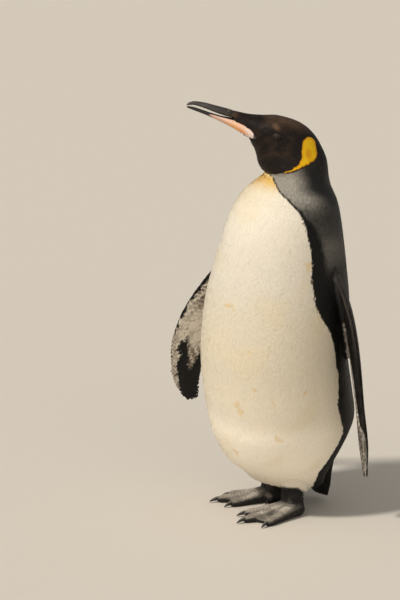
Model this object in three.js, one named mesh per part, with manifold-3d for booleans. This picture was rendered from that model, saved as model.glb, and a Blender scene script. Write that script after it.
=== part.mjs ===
// King penguin, Aptenodytes patagonicus: a still, life-size model of an adult at rest.
// Millimetres. +Z is up, the chest faces -Y, the bird's left side is +X, the soles stand on z = 0.

import * as THREE from 'three';
import { mergeVertices } from 'three/addons/utils/BufferGeometryUtils.js';
import Module from 'manifold-3d';

const wasm = await Module();
wasm.setup();

// ---- Driving dimensions -------------------------------------------------------------------

const GAP = 0.35;            // clearance between neighbouring pieces
const ROUND = 36;            // corners round the trunk, neck and head
const NECK_AXIS = -45;       // the head turns about an upright line this far forward of the trunk's axis
const HEAD_TURN = 23;        // degrees that the head looks to the bird's right

// Each row of the trunk: height, how far it reaches forward and back, half its width, its turn.
const TRUNK = [
  { height: 57, front: -20, back: -62, half: 28, turn: 0 },
  { height: 61, front: 8, back: -84, half: 58, turn: 0 },
  { height: 70, front: 40, back: -97, half: 78, turn: 0 },
  { height: 84, front: 67, back: -104, half: 92, turn: 0 },
  { height: 106, front: 89, back: -116, half: 107, turn: 0 },
  { height: 144, front: 109, back: -136, half: 124, turn: 0 },
  { height: 180, front: 118, back: -147, half: 133, turn: 0 },
  { height: 230, front: 127, back: -139, half: 137, turn: 0 },
  { height: 300, front: 132, back: -128, half: 137, turn: 0 },
  { height: 384, front: 125, back: -132, half: 134, turn: 0 },
  { height: 458, front: 107, back: -127, half: 122, turn: 0 },
  { height: 532, front: 84, back: -120, half: 105, turn: 0 },
  { height: 569, front: 66, back: -115, half: 91, turn: 3 },
  { height: 593, front: 45, back: -106, half: 75, turn: 9 },
];

// Each row of the neck and head: a throat point and a nape point, forward of the neck's axis and
// up, with half the width between them. The rows fan round the throat.
const HEAD = [
  { throat: [58, 616], nape: [-57, 613], half: 60, turn: 20 },
  { throat: [64, 626], nape: [-54, 640], half: 54, turn: HEAD_TURN },
  { throat: [70, 637], nape: [-46, 661], half: 48, turn: HEAD_TURN },
  { throat: [73, 650], nape: [-30, 688], half: 42, turn: HEAD_TURN },
  { throat: [77, 663], nape: [-5, 709], half: 37, turn: HEAD_TURN },
  { throat: [83, 673], nape: [32, 722], half: 33, turn: HEAD_TURN },
  { throat: [90, 684], nape: [62, 724], half: 26, turn: HEAD_TURN },
  { throat: [100, 691], nape: [88, 727], half: 19, turn: HEAD_TURN },
  { throat: [118, 703], nape: [118, 734.6], half: 10.6, turn: HEAD_TURN },
];
const NECK_ROW = 12;         // the neck starts at this row of the two tables read as one
const HEAD_ROW = 16.5;       // and the head at this one
const CUT = 0.015;           // half the gap between them, in rows

// The bill. Each row: how far forward of the neck's axis, its top, its underside, half its width.
const BILL_UPPER = [
  [118.4, 734.4, 721.2, 9.6],
  [132, 738.8, 725.3, 7.2],
  [148, 743.5, 731.2, 5.6],
  [166, 748.9, 738.8, 4.4],
  [184, 752.0, 745.0, 3.2],
  [194, 750.4, 745.6, 2.2],
  [199, 747.6, 745.2, 0.9],
];
const BILL_LOWER = [
  [78, 695.0, 681.0, 25.0],
  [87, 706.5, 683.8, 22.0],
  [98, 713.5, 691.2, 18.6],
  [118, 720.6, 703.2, 12.6],
  [138, 725.2, 714.0, 7.6],
  [160, 732.6, 725.0, 4.8],
  [182, 740.9, 734.4, 3.0],
  [194, 743.8, 739.4, 1.8],
  [199, 743.6, 741.8, 0.8],
];

const EYE = { row: 18.35, radius: 8.2, bulge: 2.2 };

// Flippers: the axis runs from the shoulder by the bends to the tip, as [left, forward, height]. The
// leading edge lies to one side of it, in degrees forward of the bird's left, at the root and at the
// tip, and lead is how far off it is, root to tip.
const FLIPPERS = {
  flipper_left: {
    axis: [[86, -56, 474], [124, -70, 382], [149, -81, 215], [161, -87, 89]],
    leading: [24.7, 16.5],
    lead: [22, 32, 39, 41, 39, 35, 28, 12],
    trail: [24, 30, 33, 34, 32, 28, 22, 11],
  },
  flipper_right: {
    axis: [[-96, 6, 480], [-222, 32, 275], [-285, -6, 140]],
    leading: [107.5, 107.5],
    lead: [15, 24, 34, 40, 40.5, 38, 34, 15],
    trail: [24, 30, 33, 34, 32, 31, 18.5, 12.5],
  },
};
const FLIPPER_THICK = [20, 18, 17, 16, 14, 11, 8.5, 5];
const FLIPPER_TWIST = [4.5, 6.3];                         // the rows between which a flipper turns

// Feet: the heel as [left, forward], where the middle toe points, in degrees to the left, and how
// far the outer toe is spread.
const FEET = {
  left: { heel: [50, -26], heading: -4, outer: 1, spread: 1 },
  right: { heel: [-33, -42], heading: -24, outer: -1, spread: 0.65 },
};
const ANKLE = { back: 19, wide: 20, long: 21, top: 56 };
// Each toe in the foot's frame: where its end is forward of the heel and outward, its claw's tip.
const TOES = {
  inner: { root: [24, -4], end: [101, -30], claw: [115, -35], size: 8.8 },
  middle: { root: [24, 2], end: [120, 2], claw: [136, 2], size: 9.8 },
  outer: { root: [14, 8], end: [96, 40], claw: [110, 46], size: 9.4 },
  hind: { root: [24, -6], end: [30, -25], claw: [38, -32], size: 5 },
};
const WEB_THICK = 7;

// The tail's rows: height, front, back, half its width.
const TAIL = [
  [140, -70, -130, 52],
  [100, -73, -120, 46],
  [60, -79, -114, 38],
  [38, -86, -114, 31],
  [20, -93, -111, 25],
];

// Colour and roughness of each stretch of the bird.
const BLACK = ['#1d1815', 0.7];
const CREAM = ['#efe3cb', 0.8];
const SLATE = ['#3a3733', 0.75];
const HORN = ['#5c5754', 0.4];
const PLATE = ['#e8a868', 0.4];
const EYE_BROWN = ['#1c120c', 0.1];
const SCALES = ['#6f675f', 0.65];
const CLAW = ['#2b2624', 0.45];

// ---- Helpers ------------------------------------------------------------------------------

const radians = THREE.MathUtils.degToRad;
const lerp = THREE.MathUtils.lerp;

// A point given by how far it is forward and to the left of the trunk's axis, and its height.
const at = (forward, left, height) => new THREE.Vector3(left, -forward, height);

// A point of a part that is turned to the bird's right about the neck's axis.
const turned = (forward, left, height, turn) => {
  const c = Math.cos(radians(turn));
  const s = Math.sin(radians(turn));
  return at(NECK_AXIS + forward * c + left * s, left * c - forward * s, height);
};

// A smooth curve through rows of numbers, read at a fractional row.
const through = (rows, t) => {
  const last = rows.length - 1;
  const i = Math.min(Math.floor(t), last - 1);
  const u = t - i;
  const row = (k) => rows[Math.max(0, Math.min(last, k))];
  return rows[i].map((p1, k) => {
    const p0 = i > 0 ? row(i - 1)[k] : 2 * p1 - row(i + 1)[k];
    const p2 = row(i + 1)[k];
    const p3 = i + 2 <= last ? row(i + 2)[k] : 2 * p2 - p1;
    const m1 = (p2 - p0) / 2;
    const m2 = (p3 - p1) / 2;
    return (2 * u ** 3 - 3 * u ** 2 + 1) * p1 + (u ** 3 - 2 * u ** 2 + u) * m1
      + (3 * u ** 2 - 2 * u ** 3) * p2 + (u ** 3 - u ** 2) * m2;
  });
};

const steps = (from, to, count) => Array.from({ length: count + 1 }, (_, i) => lerp(from, to, i / count));

// A closed body through rings of points that all have the same count, ended by flat caps.
const loft = (rings) => {
  const count = rings[0].length;
  const points = rings.flat();
  const faces = [];
  for (let r = 0; r + 1 < rings.length; r++) {
    for (let k = 0; k < count; k++) {
      const a = r * count + k;
      const b = r * count + (k + 1) % count;
      faces.push(a, b, b + count, a, b + count, a + count);
    }
  }
  for (const [ring, flip] of [[0, true], [rings.length - 1, false]]) {
    const middle = new THREE.Vector3();
    rings[ring].forEach((p) => middle.addScaledVector(p, 1 / count));
    const hub = points.push(middle) - 1;
    for (let k = 0; k < count; k++) {
      const a = ring * count + k;
      const b = ring * count + (k + 1) % count;
      faces.push(...(flip ? [hub, b, a] : [hub, a, b]));
    }
  }
  const geometry = new THREE.BufferGeometry().setFromPoints(points);
  geometry.setIndex(faces);
  return solid(geometry);
};

// The solid of a closed three.js geometry, turned face out if its rings ran the other way.
const solid = (geometry) => {
  const bare = geometry.clone();
  bare.deleteAttribute('normal');
  bare.deleteAttribute('uv');
  const merged = mergeVertices(bare, 1e-4);
  const places = merged.attributes.position;
  const corner = (i) => new THREE.Vector3().fromBufferAttribute(places, merged.index.array[i]);
  let volume = 0;
  for (let i = 0; i < merged.index.count; i += 3) {
    volume += corner(i).dot(corner(i + 1).cross(corner(i + 2)));
  }
  const triVerts = Uint32Array.from(merged.index.array);
  if (volume < 0) triVerts.reverse();
  const vertProperties = Float32Array.from(places.array);
  return new wasm.Manifold(new wasm.Mesh({ numProp: 3, vertProperties, triVerts }));
};

const group = new THREE.Group();
const add = (name, piece, [color, roughness]) => {
  const { vertProperties, triVerts } = piece.getMesh();
  const geometry = new THREE.BufferGeometry();
  geometry.setAttribute('position', new THREE.BufferAttribute(Float32Array.from(vertProperties), 3));
  geometry.setIndex(new THREE.BufferAttribute(Uint32Array.from(triVerts), 1));
  geometry.computeVertexNormals();
  const mesh = new THREE.Mesh(geometry, new THREE.MeshStandardMaterial({ color, roughness, metalness: 0 }));
  mesh.name = name;
  group.add(mesh);
};

// A ring round a middle, by its half width along one vector and its half height along another.
const ring = (middle, across, up, corners) => Array.from({ length: corners }, (_, k) => {
  const angle = (2 * Math.PI * k) / corners;
  return middle.clone().addScaledVector(across, Math.sin(angle)).addScaledVector(up, Math.cos(angle));
});

// A box of air that keeps only what stands above the floor.
const aboveFloor = solid(new THREE.BoxGeometry(900, 900, 900).translate(0, 0, 450));

// ---- Trunk, neck and head -----------------------------------------------------------------

const BODY = [
  ...TRUNK.map((r) => [r.front - NECK_AXIS, r.height, r.back - NECK_AXIS, r.height, r.half, r.turn]),
  ...HEAD.map((r) => [...r.throat, ...r.nape, r.half, r.turn]),
];

// The ring round the body at a row, which can be grown outward.
const bodyRing = (t, grow = 0) => {
  const [throat, throatHeight, nape, napeHeight, half, turn] = through(BODY, t);
  const front = turned(throat, 0, throatHeight, turn);
  const back = turned(nape, 0, napeHeight, turn);
  const middle = front.clone().add(back).multiplyScalar(0.5);
  const toFront = front.sub(middle);
  toFront.setLength(toFront.length() + grow);
  const toLeft = turned(0, half + grow, 0, turn).sub(turned(0, 0, 0, turn));
  return ring(middle, toLeft, toFront, ROUND);
};

// The body between two rows, with a ring at each end and at every row and half row between.
const body = (from, to, grow = 0) => {
  const between = steps(0, BODY.length - 1, 2 * (BODY.length - 1)).filter((t) => t > from && t < to);
  return loft([from, ...between, to].map((t) => bodyRing(t, grow)));
};

const trunk = body(0, NECK_ROW - CUT);
const trunkCutter = body(0, NECK_ROW + 2, GAP);
const neck = body(NECK_ROW + CUT, HEAD_ROW - CUT);
const headWhole = body(HEAD_ROW + CUT, BODY.length - 1);

// ---- Bill ---------------------------------------------------------------------------------

const bill = (rows, count, grow = 0) => loft(steps(0, rows.length - 1, count).map((t) => {
  const [forward, top, underside, half] = through(rows, t);
  const middle = turned(forward, 0, (top + underside) / 2, HEAD_TURN);
  const across = turned(0, half + grow, 0, HEAD_TURN).sub(turned(0, 0, 0, HEAD_TURN));
  const up = new THREE.Vector3(0, 0, (top - underside) / 2 + grow);
  return ring(middle, across, up, 12);
}));

const billUpper = bill(BILL_UPPER, 14);
const billLower = bill(BILL_LOWER, 18);

// ---- Eyes ---------------------------------------------------------------------------------

const eyeball = (side, grow) => {
  const around = bodyRing(EYE.row);
  const skin = around[side > 0 ? ROUND / 4 : (3 * ROUND) / 4];
  const inward = around[side > 0 ? (3 * ROUND) / 4 : ROUND / 4].clone().sub(skin).normalize();
  const middle = skin.clone().addScaledVector(inward, EYE.radius - EYE.bulge);
  return solid(new THREE.SphereGeometry(EYE.radius + grow, 14, 8).translate(...middle.toArray()));
};

const head = headWhole
  .subtract(bill(BILL_LOWER, 18, GAP))
  .subtract(eyeball(1, GAP))
  .subtract(eyeball(-1, GAP));

// ---- Flippers -----------------------------------------------------------------------------

const flipper = ({ axis, leading, lead: leads, trail: trails }) => {
  const curve = new THREE.CatmullRomCurve3(axis.map(([left, forward, height]) => at(forward, left, height)));
  const last = leads.length - 1;
  const rows = leads.map((lead, k) => [lead, trails[k], FLIPPER_THICK[k]]);
  return loft(steps(0, last, 18).map((t) => {
    const [lead, trail, thick] = through(rows, t);
    const twist = THREE.MathUtils.smoothstep(t, ...FLIPPER_TWIST);
    const bearing = radians(leading[0] + (leading[1] - leading[0]) * twist);
    const edge = at(Math.sin(bearing), Math.cos(bearing), 0);
    const along = curve.getTangentAt(t / last);
    const across = edge.clone().addScaledVector(along, -edge.dot(along)).normalize();
    const normal = across.clone().cross(along);
    const middle = curve.getPointAt(t / last).addScaledVector(across, (lead - trail) / 2);
    return ring(middle, across.multiplyScalar((lead + trail) / 2), normal.multiplyScalar(thick / 2), 14);
  }));
};

// ---- Legs, feet and claws -----------------------------------------------------------------

// A point in a foot's frame: forward of the heel, outward, up.
const onFoot = ({ heel, heading, outer }, forward, out, height) => {
  const c = Math.cos(radians(heading));
  const s = Math.sin(radians(heading));
  return at(heel[1] + forward * c - out * outer * s, heel[0] + forward * s + out * outer * c, height);
};

// The toes of a foot, its outer one spread as far as that foot has it.
const toesOf = ({ spread }) => {
  const { outer } = TOES;
  const spreadTo = ([forward, out]) => [forward, out * spread];
  return { ...TOES, outer: { ...outer, end: spreadTo(outer.end), claw: spreadTo(outer.claw) } };
};

// A row of rings from one place on a foot to another; each station is [part of the way, height,
// half width, half thickness].
const toeRings = (foot, from, to, stations, corners, grow = 0) => {
  const start = onFoot(foot, ...from, 0);
  const end = onFoot(foot, ...to, 0);
  const along = end.clone().sub(start).normalize();
  const across = new THREE.Vector3(-along.y, along.x, 0);
  return stations.map(([part, height, wide, thick]) => {
    const middle = start.clone().lerp(end, part).setZ(height);
    const up = new THREE.Vector3(0, 0, thick + grow);
    return ring(middle, across.clone().multiplyScalar(wide + grow), up, corners);
  });
};

const toe = (foot, { root, end, size }, grow = 0) => loft(toeRings(foot, root, end, [
  [0, 14, size * 1.7, 15],
  [0.3, 11, size * 1.35, 12],
  [0.6, 8, size * 1.05, 9.5],
  [0.85, 6.6, size, 8.4],
  [0.96, 6, size * 0.8, 7.2],
  [1.02, 5.6, size * 0.4, 4],
], 10, grow));

const claw = (foot, { end, claw: tip, size }) => loft(toeRings(foot, end, tip, [
  [-0.4, 7.2, size * 0.46, 4.4],
  [0.1, 7.6, size * 0.44, 4.4],
  [0.4, 6.8, size * 0.37, 3.8],
  [0.75, 4.6, size * 0.25, 2.7],
  [1, 1.9, size * 0.1, 0.9],
], 6));

const web = (foot, first, second) => {
  const flat = (forward, out) => onFoot(foot, forward, out, 0);
  const [root, from, to] = [flat(ANKLE.back, 0), flat(...first.end), flat(...second.end)];
  const dip = from.clone().add(to).multiplyScalar(0.5).lerp(root, 0.2);
  const shape = new THREE.Shape().moveTo(root.x, root.y);
  const [a, b] = [from.clone().lerp(root, 0.08), to.clone().lerp(root, 0.08)];
  shape.lineTo(a.x, a.y).quadraticCurveTo(dip.x, dip.y, b.x, b.y).lineTo(root.x, root.y);
  return solid(new THREE.ExtrudeGeometry(shape, { depth: WEB_THICK, bevelEnabled: false, curveSegments: 4 }));
};

const ankle = (foot) => {
  const rows = [
    [0, 18, 20],
    [8, 22, 24],
    [18, ANKLE.wide, ANKLE.long],
    [ANKLE.top, ANKLE.wide - 1, ANKLE.long - 2],
  ];
  return loft(rows.map(([height, wide, long]) => {
    const middle = onFoot(foot, ANKLE.back, 0, height);
    const across = onFoot(foot, ANKLE.back, wide, height).sub(middle);
    const along = onFoot(foot, ANKLE.back + long, 0, height).sub(middle);
    return ring(middle, across, along, 18);
  }));
};

const leg = (foot) => loft([
  [ANKLE.top + GAP, 24, 26, -4],
  [68, 29, 33, -3],
  [80, 34, 40, 0],
  [95, 38, 46, 3],
].map(([height, wide, long, shift]) => {
  const middle = onFoot(foot, ANKLE.back + shift, 0, height);
  return ring(middle, new THREE.Vector3(wide, 0, 0), new THREE.Vector3(0, -long, 0), 18);
})).subtract(trunkCutter);

const footOf = (foot) => {
  const { inner, middle, outer, hind } = toesOf(foot);
  return [toe(foot, inner), toe(foot, middle), toe(foot, outer), toe(foot, hind), web(foot, inner, middle),
    web(foot, middle, outer)].reduce((whole, piece) => whole.add(piece), ankle(foot)).intersect(aboveFloor);
};

// ---- Tail ---------------------------------------------------------------------------------

const tail = loft(steps(0, TAIL.length - 1, 6).map((t) => {
  const [height, front, back, half] = through(TAIL, t);
  const middle = at((front + back) / 2, 0, height);
  return ring(middle, new THREE.Vector3(half, 0, 0), new THREE.Vector3(0, -(front - back) / 2, 0), 16);
})).subtract(trunkCutter);

// ---- The bird -----------------------------------------------------------------------------

add('trunk', trunk, CREAM);
add('neck', neck, SLATE);
add('head', head, BLACK);
add('bill_upper', billUpper, HORN);
add('bill_lower', billLower, PLATE);
add('eye_left', eyeball(1, 0), EYE_BROWN);
add('eye_right', eyeball(-1, 0), EYE_BROWN);
for (const [name, shape] of Object.entries(FLIPPERS)) {
  add(name, flipper(shape).subtract(trunkCutter), SLATE);
}
for (const [side, foot] of Object.entries(FEET)) {
  add(`leg_${side}`, leg(foot), SLATE);
  add(`foot_${side}`, footOf(foot), SCALES);
  for (const [name, shape] of Object.entries(toesOf(foot))) {
    add(`claw_${side}_${name}`, claw(foot, shape).subtract(toe(foot, shape, GAP)), CLAW);
  }
}
add('tail', tail, BLACK);

// The origin is under the middle of the whole bird.
const box = new THREE.Box3().setFromObject(group);
const middle = box.getCenter(new THREE.Vector3());
group.position.set(-middle.x, -middle.y, -box.min.z);

export default group;
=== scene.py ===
# King penguin: skin, plumage, bill, eyes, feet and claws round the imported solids.
# Metres, +Z up, the chest faces -Y, the bird's left side is +X.

import math

import bmesh
import bpy
import numpy as np
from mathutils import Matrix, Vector
from mathutils.bvhtree import BVHTree
from mathutils.kdtree import KDTree


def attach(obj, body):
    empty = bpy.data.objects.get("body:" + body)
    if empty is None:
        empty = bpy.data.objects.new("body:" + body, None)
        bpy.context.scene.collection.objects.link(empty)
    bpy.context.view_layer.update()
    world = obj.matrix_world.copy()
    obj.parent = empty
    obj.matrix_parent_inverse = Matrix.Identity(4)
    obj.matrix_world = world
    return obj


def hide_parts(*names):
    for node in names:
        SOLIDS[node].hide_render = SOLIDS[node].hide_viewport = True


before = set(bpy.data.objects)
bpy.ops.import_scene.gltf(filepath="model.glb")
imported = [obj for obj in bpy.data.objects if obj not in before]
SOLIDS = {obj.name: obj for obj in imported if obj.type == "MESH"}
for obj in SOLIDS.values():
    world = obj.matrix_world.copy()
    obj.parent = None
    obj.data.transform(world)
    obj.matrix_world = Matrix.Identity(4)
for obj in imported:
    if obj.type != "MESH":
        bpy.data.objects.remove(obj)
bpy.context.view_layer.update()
MM = 0.001
SPARSE = 1.0

# ---- The bird's measures, in millimetres --------------------------------------------------

SHIFT = np.array([53.646, -4.234, 0.0])  # the trunk's axis from the middle of the whole bird
NECK_AXIS = -45.0
# Each row of the trunk: how far forward of its axis the front and the back are, height, half
# width, turn in degrees to the bird's right. Each row of the head: throat and nape as (forward of
# the neck's axis, height), half width, turn.
TRUNK = [
    (-20, -62, 57, 28, 0), (8, -84, 61, 58, 0), (40, -97, 70, 78, 0), (67, -104, 84, 92, 0),
    (89, -116, 106, 107, 0), (109, -136, 144, 124, 0), (118, -147, 180, 133, 0),
    (127, -139, 230, 137, 0), (132, -128, 300, 137, 0), (125, -132, 384, 134, 0),
    (107, -127, 458, 122, 0), (84, -120, 532, 105, 0), (66, -115, 569, 91, 3),
    (45, -106, 593, 75, 9),
]
HEAD = [
    (58, 616, -57, 613, 60, 20), (64, 626, -54, 640, 54, 23), (70, 637, -46, 661, 48, 23),
    (73, 650, -30, 688, 42, 23), (77, 663, -5, 709, 37, 23), (83, 673, 32, 722, 33, 23),
    (90, 684, 62, 724, 26, 23), (100, 691, 88, 727, 19, 23), (118, 703, 118, 734.6, 10.6, 23),
]
BODY = [(f - NECK_AXIS, z, b - NECK_AXIS, z, half, turn) for f, b, z, half, turn in TRUNK] + HEAD
TOP_ROW = len(BODY) - 1
HEAD_TURN = 23.0
EYE_ROW = 18.35
EYE_RADIUS = 8.2
EYE_BULGE = 2.2

# Each row of the bill: forward of the neck's axis, top, underside, half width. The upper bill's
# first row is under the feathers of the forehead.
BILL_UPPER = [
    (104, 726.5, 715.5, 8.2), (118.4, 734.4, 721.2, 9.6), (132, 738.8, 725.3, 7.2),
    (148, 743.5, 731.2, 5.6), (166, 748.9, 738.8, 4.4), (184, 752.0, 745.0, 3.2),
    (194, 750.4, 745.6, 2.2), (199, 747.6, 745.2, 0.9),
]
BILL_LOWER = [
    (78, 695.0, 681.0, 25.0), (87, 706.5, 683.8, 22.0), (98, 713.5, 691.2, 18.6),
    (118, 720.6, 703.2, 12.6), (138, 725.2, 714.0, 7.6), (160, 732.6, 725.0, 4.8),
    (182, 740.9, 734.4, 3.0), (194, 743.8, 739.4, 1.8), (199, 743.6, 741.8, 0.8),
]

# Flippers: axis as (left, forward, height), which way the leading edge points at root and tip, in
# degrees forward of the bird's left, and how far leading and trailing edges are off the axis.
FLIPPERS = {
    "left": ([(86, -56, 474), (124, -70, 382), (149, -81, 215), (161, -87, 89)], (24.7, 16.5),
             [22, 32, 39, 41, 39, 35, 28, 12], [24, 30, 33, 34, 32, 28, 22, 11]),
    "right": ([(-96, 6, 480), (-222, 32, 275), (-285, -6, 140)], (107.5, 107.5),
              [15, 24, 34, 40, 40.5, 38, 34, 15], [24, 30, 33, 34, 32, 31, 18.5, 12.5]),
}
FLIPPER_THICK = [20, 18, 17, 16, 14, 11, 8.5, 5]
FLIPPER_TWIST = (4.5, 6.3)  # the rows between which a flipper turns

# Feet: heel as (left, forward), heading in degrees to the left, which way is outward, and how far
# the outer toe is spread.
FEET = {"left": ((50, -26), -4, 1, 1.0), "right": ((-33, -42), -24, -1, 0.65)}
ANKLE_BACK = 19.0
TOE_CREASE = 6  # how far apart the creases across the toes are
ANKLE_FOLD = 5.5  # how far apart the folds round the ankles are
# Toes in the foot's frame: root and end as (forward, outward).
TOES = {"inner": ((24, -4), (101, -30)), "middle": ((24, 2), (120, 2)),
        "outer": ((14, 8), (96, 40)), "hind": ((24, -6), (30, -25))}
# A leg's rows: height, half width, half length, how far forward of the ankle.
LEG = [(95, 38, 46, 3), (80, 35, 42, 0), (68, 31, 36, -3), (57, 27, 31, -4), (48, 24, 27, -4)]
# The tail's rows: height, front, back, half its width.
TAIL = [(140, -70, -130, 52), (100, -73, -120, 46), (60, -79, -114, 38), (38, -86, -114, 31),
        (20, -93, -111, 25)]

# ---- Helpers ------------------------------------------------------------------------------


def linear(code):
    """An sRGB hex colour as linear red, green, blue."""
    parts = [int(code[i:i + 2], 16) / 255 for i in (1, 3, 5)]
    return np.array([c / 12.92 if c <= 0.04045 else ((c + 0.055) / 1.055) ** 2.4 for c in parts])


def smooth(x, low, high):
    """0 below low, 1 above high, eased between."""
    s = np.clip((np.asarray(x, float) - low) / (high - low), 0, 1)
    return s * s * (3 - 2 * s)


def until(x, low, high):
    """1 below low, 0 above high, eased between."""
    return smooth(-np.asarray(x), -high, -low)


def mix(one, other, share):
    """One colour with another laid over it by a share."""
    return one * (1 - share) + other * share


def over(under, top, share):
    """Colours with another laid over them by a share each."""
    return mix(under, top, np.asarray(share, float)[:, None])


def table(rows, x):
    """A table of (place, value) rows read at x."""
    return np.interp(x, [r[0] for r in rows], [r[1] for r in rows])


def wrapped(angle):
    """Angles brought between -pi and pi."""
    return (angle + math.pi) % (2 * math.pi) - math.pi


def unit(v):
    return v / np.maximum(np.linalg.norm(v, axis=-1, keepdims=True), 1e-12)


def wobble(points, size, seed):
    """A soft wavy field from about -1 to 1 through space, whose blotches are size mm across."""
    turns = np.random.default_rng(seed).normal(size=(9, 3)) * 2.2 / size
    phases = np.random.default_rng(seed + 1).uniform(0, 2 * math.pi, 9)
    return np.sin(points @ turns.T + phases).sum(axis=1) / 3


def hermite(p1, p2, m1, m2, u):
    """The cubic from p1 to p2 that sets out along m1 and comes in along m2."""
    return ((2 * u**3 - 3 * u**2 + 1) * p1 + (u**3 - 2 * u**2 + u) * m1
            + (3 * u**2 - 2 * u**3) * p2 + (u**3 - u**2) * m2)


def through(rows, t):
    """A smooth curve through rows of numbers, read at fractional rows."""
    rows = np.asarray(rows, float)
    last = len(rows) - 1
    i = np.clip(np.floor(t).astype(int), 0, last - 1)
    u = (np.asarray(t, float) - i)[:, None]
    p1, p2 = rows[i], rows[i + 1]
    p0 = np.where(i[:, None] > 0, rows[np.maximum(i - 1, 0)], 2 * p1 - p2)
    p3 = np.where(i[:, None] + 2 <= last, rows[np.minimum(i + 2, last)], 2 * p2 - p1)
    return hermite(p1, p2, (p2 - p0) / 2, (p3 - p1) / 2, u)


def turned(g, left, z, turn):
    """Points forward of the neck's axis and to the left, turned with the head, in the frame."""
    c, s = np.cos(np.radians(turn)), np.sin(np.radians(turn))
    forward = NECK_AXIS + g * c + left * s
    across = left * c - g * s
    return np.stack([across, -forward, z + 0 * forward], axis=-1) + SHIFT


def head_plane(points):
    """How far points are forward of the neck's axis, to the head's left, and their height."""
    local = points - SHIFT
    c, s = math.cos(math.radians(HEAD_TURN)), math.sin(math.radians(HEAD_TURN))
    forward = -local[:, 1] - NECK_AXIS
    return forward * c - local[:, 0] * s, local[:, 0] * c + forward * s, local[:, 2]


def on_body(t, angle):
    """Points on the trunk, neck and head by row and by angle round from the front, to the left."""
    throat, throat_z, nape, nape_z, half, turn = through(BODY, t).T
    c, s = np.cos(angle), np.sin(angle)
    g = (throat + nape) / 2 + c * (throat - nape) / 2
    z = (throat_z + nape_z) / 2 + c * (throat_z - nape_z) / 2
    return turned(g, half * s, z, turn)


def flipper_curve(axis):
    """The centripetal curve through a flipper's axis points, and its length so far."""
    knots = np.array([(left, -forward, height) for left, forward, height in axis], float)
    knots = np.vstack([2 * knots[0] - knots[1], knots, 2 * knots[-1] - knots[-2]])
    spans = np.linalg.norm(np.diff(knots, axis=0), axis=1) ** 0.5
    points = []
    for k in range(len(axis) - 1):
        p0, p1, p2, p3 = knots[k:k + 4]
        d0, d1, d2 = spans[k:k + 3]
        m1 = ((p1 - p0) / d0 - (p2 - p0) / (d0 + d1) + (p2 - p1) / d1) * d1
        m2 = ((p2 - p1) / d1 - (p3 - p1) / (d1 + d2) + (p3 - p2) / d2) * d1
        points += [hermite(p1, p2, m1, m2, u) for u in np.linspace(0, 1, 101)[min(k, 1):]]
    points = np.array(points)
    return points, np.r_[0, np.cumsum(np.linalg.norm(np.diff(points, axis=0), axis=1))]


def flipper_surface(side):
    """The function that gives points on a flipper by row, root to tip, and by angle round it."""
    axis, leading, lead, trail = FLIPPERS[side]
    curve, run = flipper_curve(axis)
    rows = list(zip(lead, trail, FLIPPER_THICK))
    last = len(rows) - 1

    def at_length(s):
        return np.stack([np.interp(s, run, curve[:, i]) for i in range(3)], axis=-1)

    def on_flipper(t, angle):
        ahead, behind, thick = through(rows, t).T
        s = np.asarray(t) / last * run[-1]
        along = unit(at_length(np.minimum(s + 2, run[-1])) - at_length(np.maximum(s - 2, 0)))
        bearing = np.radians(leading[0] + (leading[1] - leading[0]) * smooth(t, *FLIPPER_TWIST))
        edge = np.stack([np.cos(bearing), -np.sin(bearing), 0 * bearing], axis=-1)
        across = unit(edge - along * np.sum(along * edge, axis=1)[:, None])
        normal = np.cross(across, along)
        middle = at_length(s) + across * ((ahead - behind) / 2)[:, None]
        return (middle + across * (np.sin(angle) * (ahead + behind) / 2)[:, None]
                + normal * (np.cos(angle) * thick / 2)[:, None] + SHIFT)

    return on_flipper


def on_tail(t, angle):
    height, front, back, half = through(TAIL, t).T
    forward = (front + back) / 2 + np.cos(angle) * (front - back) / 2
    return np.stack([half * np.sin(angle), -forward, height], axis=-1) + SHIFT


def on_foot(side, forward, out, height):
    """A point in a foot's own frame: forward of the heel, outward, up."""
    (left, ahead), heading, outer, _ = FEET[side]
    c, s = math.cos(math.radians(heading)), math.sin(math.radians(heading))
    x = left + forward * s + out * outer * c
    y = -(ahead + forward * c - out * outer * s)
    return np.array([x, y, height]) + SHIFT


def leg_surface(side):
    """The function that gives points on the feathered leg above a foot, from the trunk down."""
    middle = on_foot(side, ANKLE_BACK, 0, 0)

    def on_leg(t, angle):
        height, wide, long, ahead = through(LEG, t).T
        return middle + np.stack([wide * np.sin(angle), -ahead - long * np.cos(angle), height], -1)

    return on_leg


def link(obj):
    bpy.context.scene.collection.objects.link(obj)
    return obj


def shaded(mesh):
    mesh.polygons.foreach_set("use_smooth", [True] * len(mesh.polygons))
    mesh.update()


def piece_of(bm, name, finish):
    """A smooth-shaded piece from a bmesh, which is freed."""
    mesh = bpy.data.meshes.new(name)
    bm.to_mesh(mesh)
    bm.free()
    shaded(mesh)
    mesh.materials.append(finish)
    return link(bpy.data.objects.new(name, mesh))


def add_node(tree, kind, settings=None, links=None):
    """Adds one node, with values for its sockets and properties and the sockets that feed it."""
    node = tree.nodes.new(kind)
    for name, value in (settings or {}).items():
        if isinstance(name, int) or name in node.inputs:
            node.inputs[name].default_value = value
        else:
            setattr(node, name, value)
    for name, source in (links or {}).items():
        tree.links.new(source, node.inputs[name])
    return node


def material(name, **settings):
    """A new material with a Principled shader set to a finish, and its tree and shader."""
    made = bpy.data.materials.new(name)
    made.use_nodes = True
    shader = made.node_tree.nodes["Principled BSDF"]
    for key, value in settings.items():
        shader.inputs[key.replace("_", " ")].default_value = value
    return made, made.node_tree, shader


# ---- Plumage: the markings, given to skin and feathers alike -------------------------------

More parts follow.
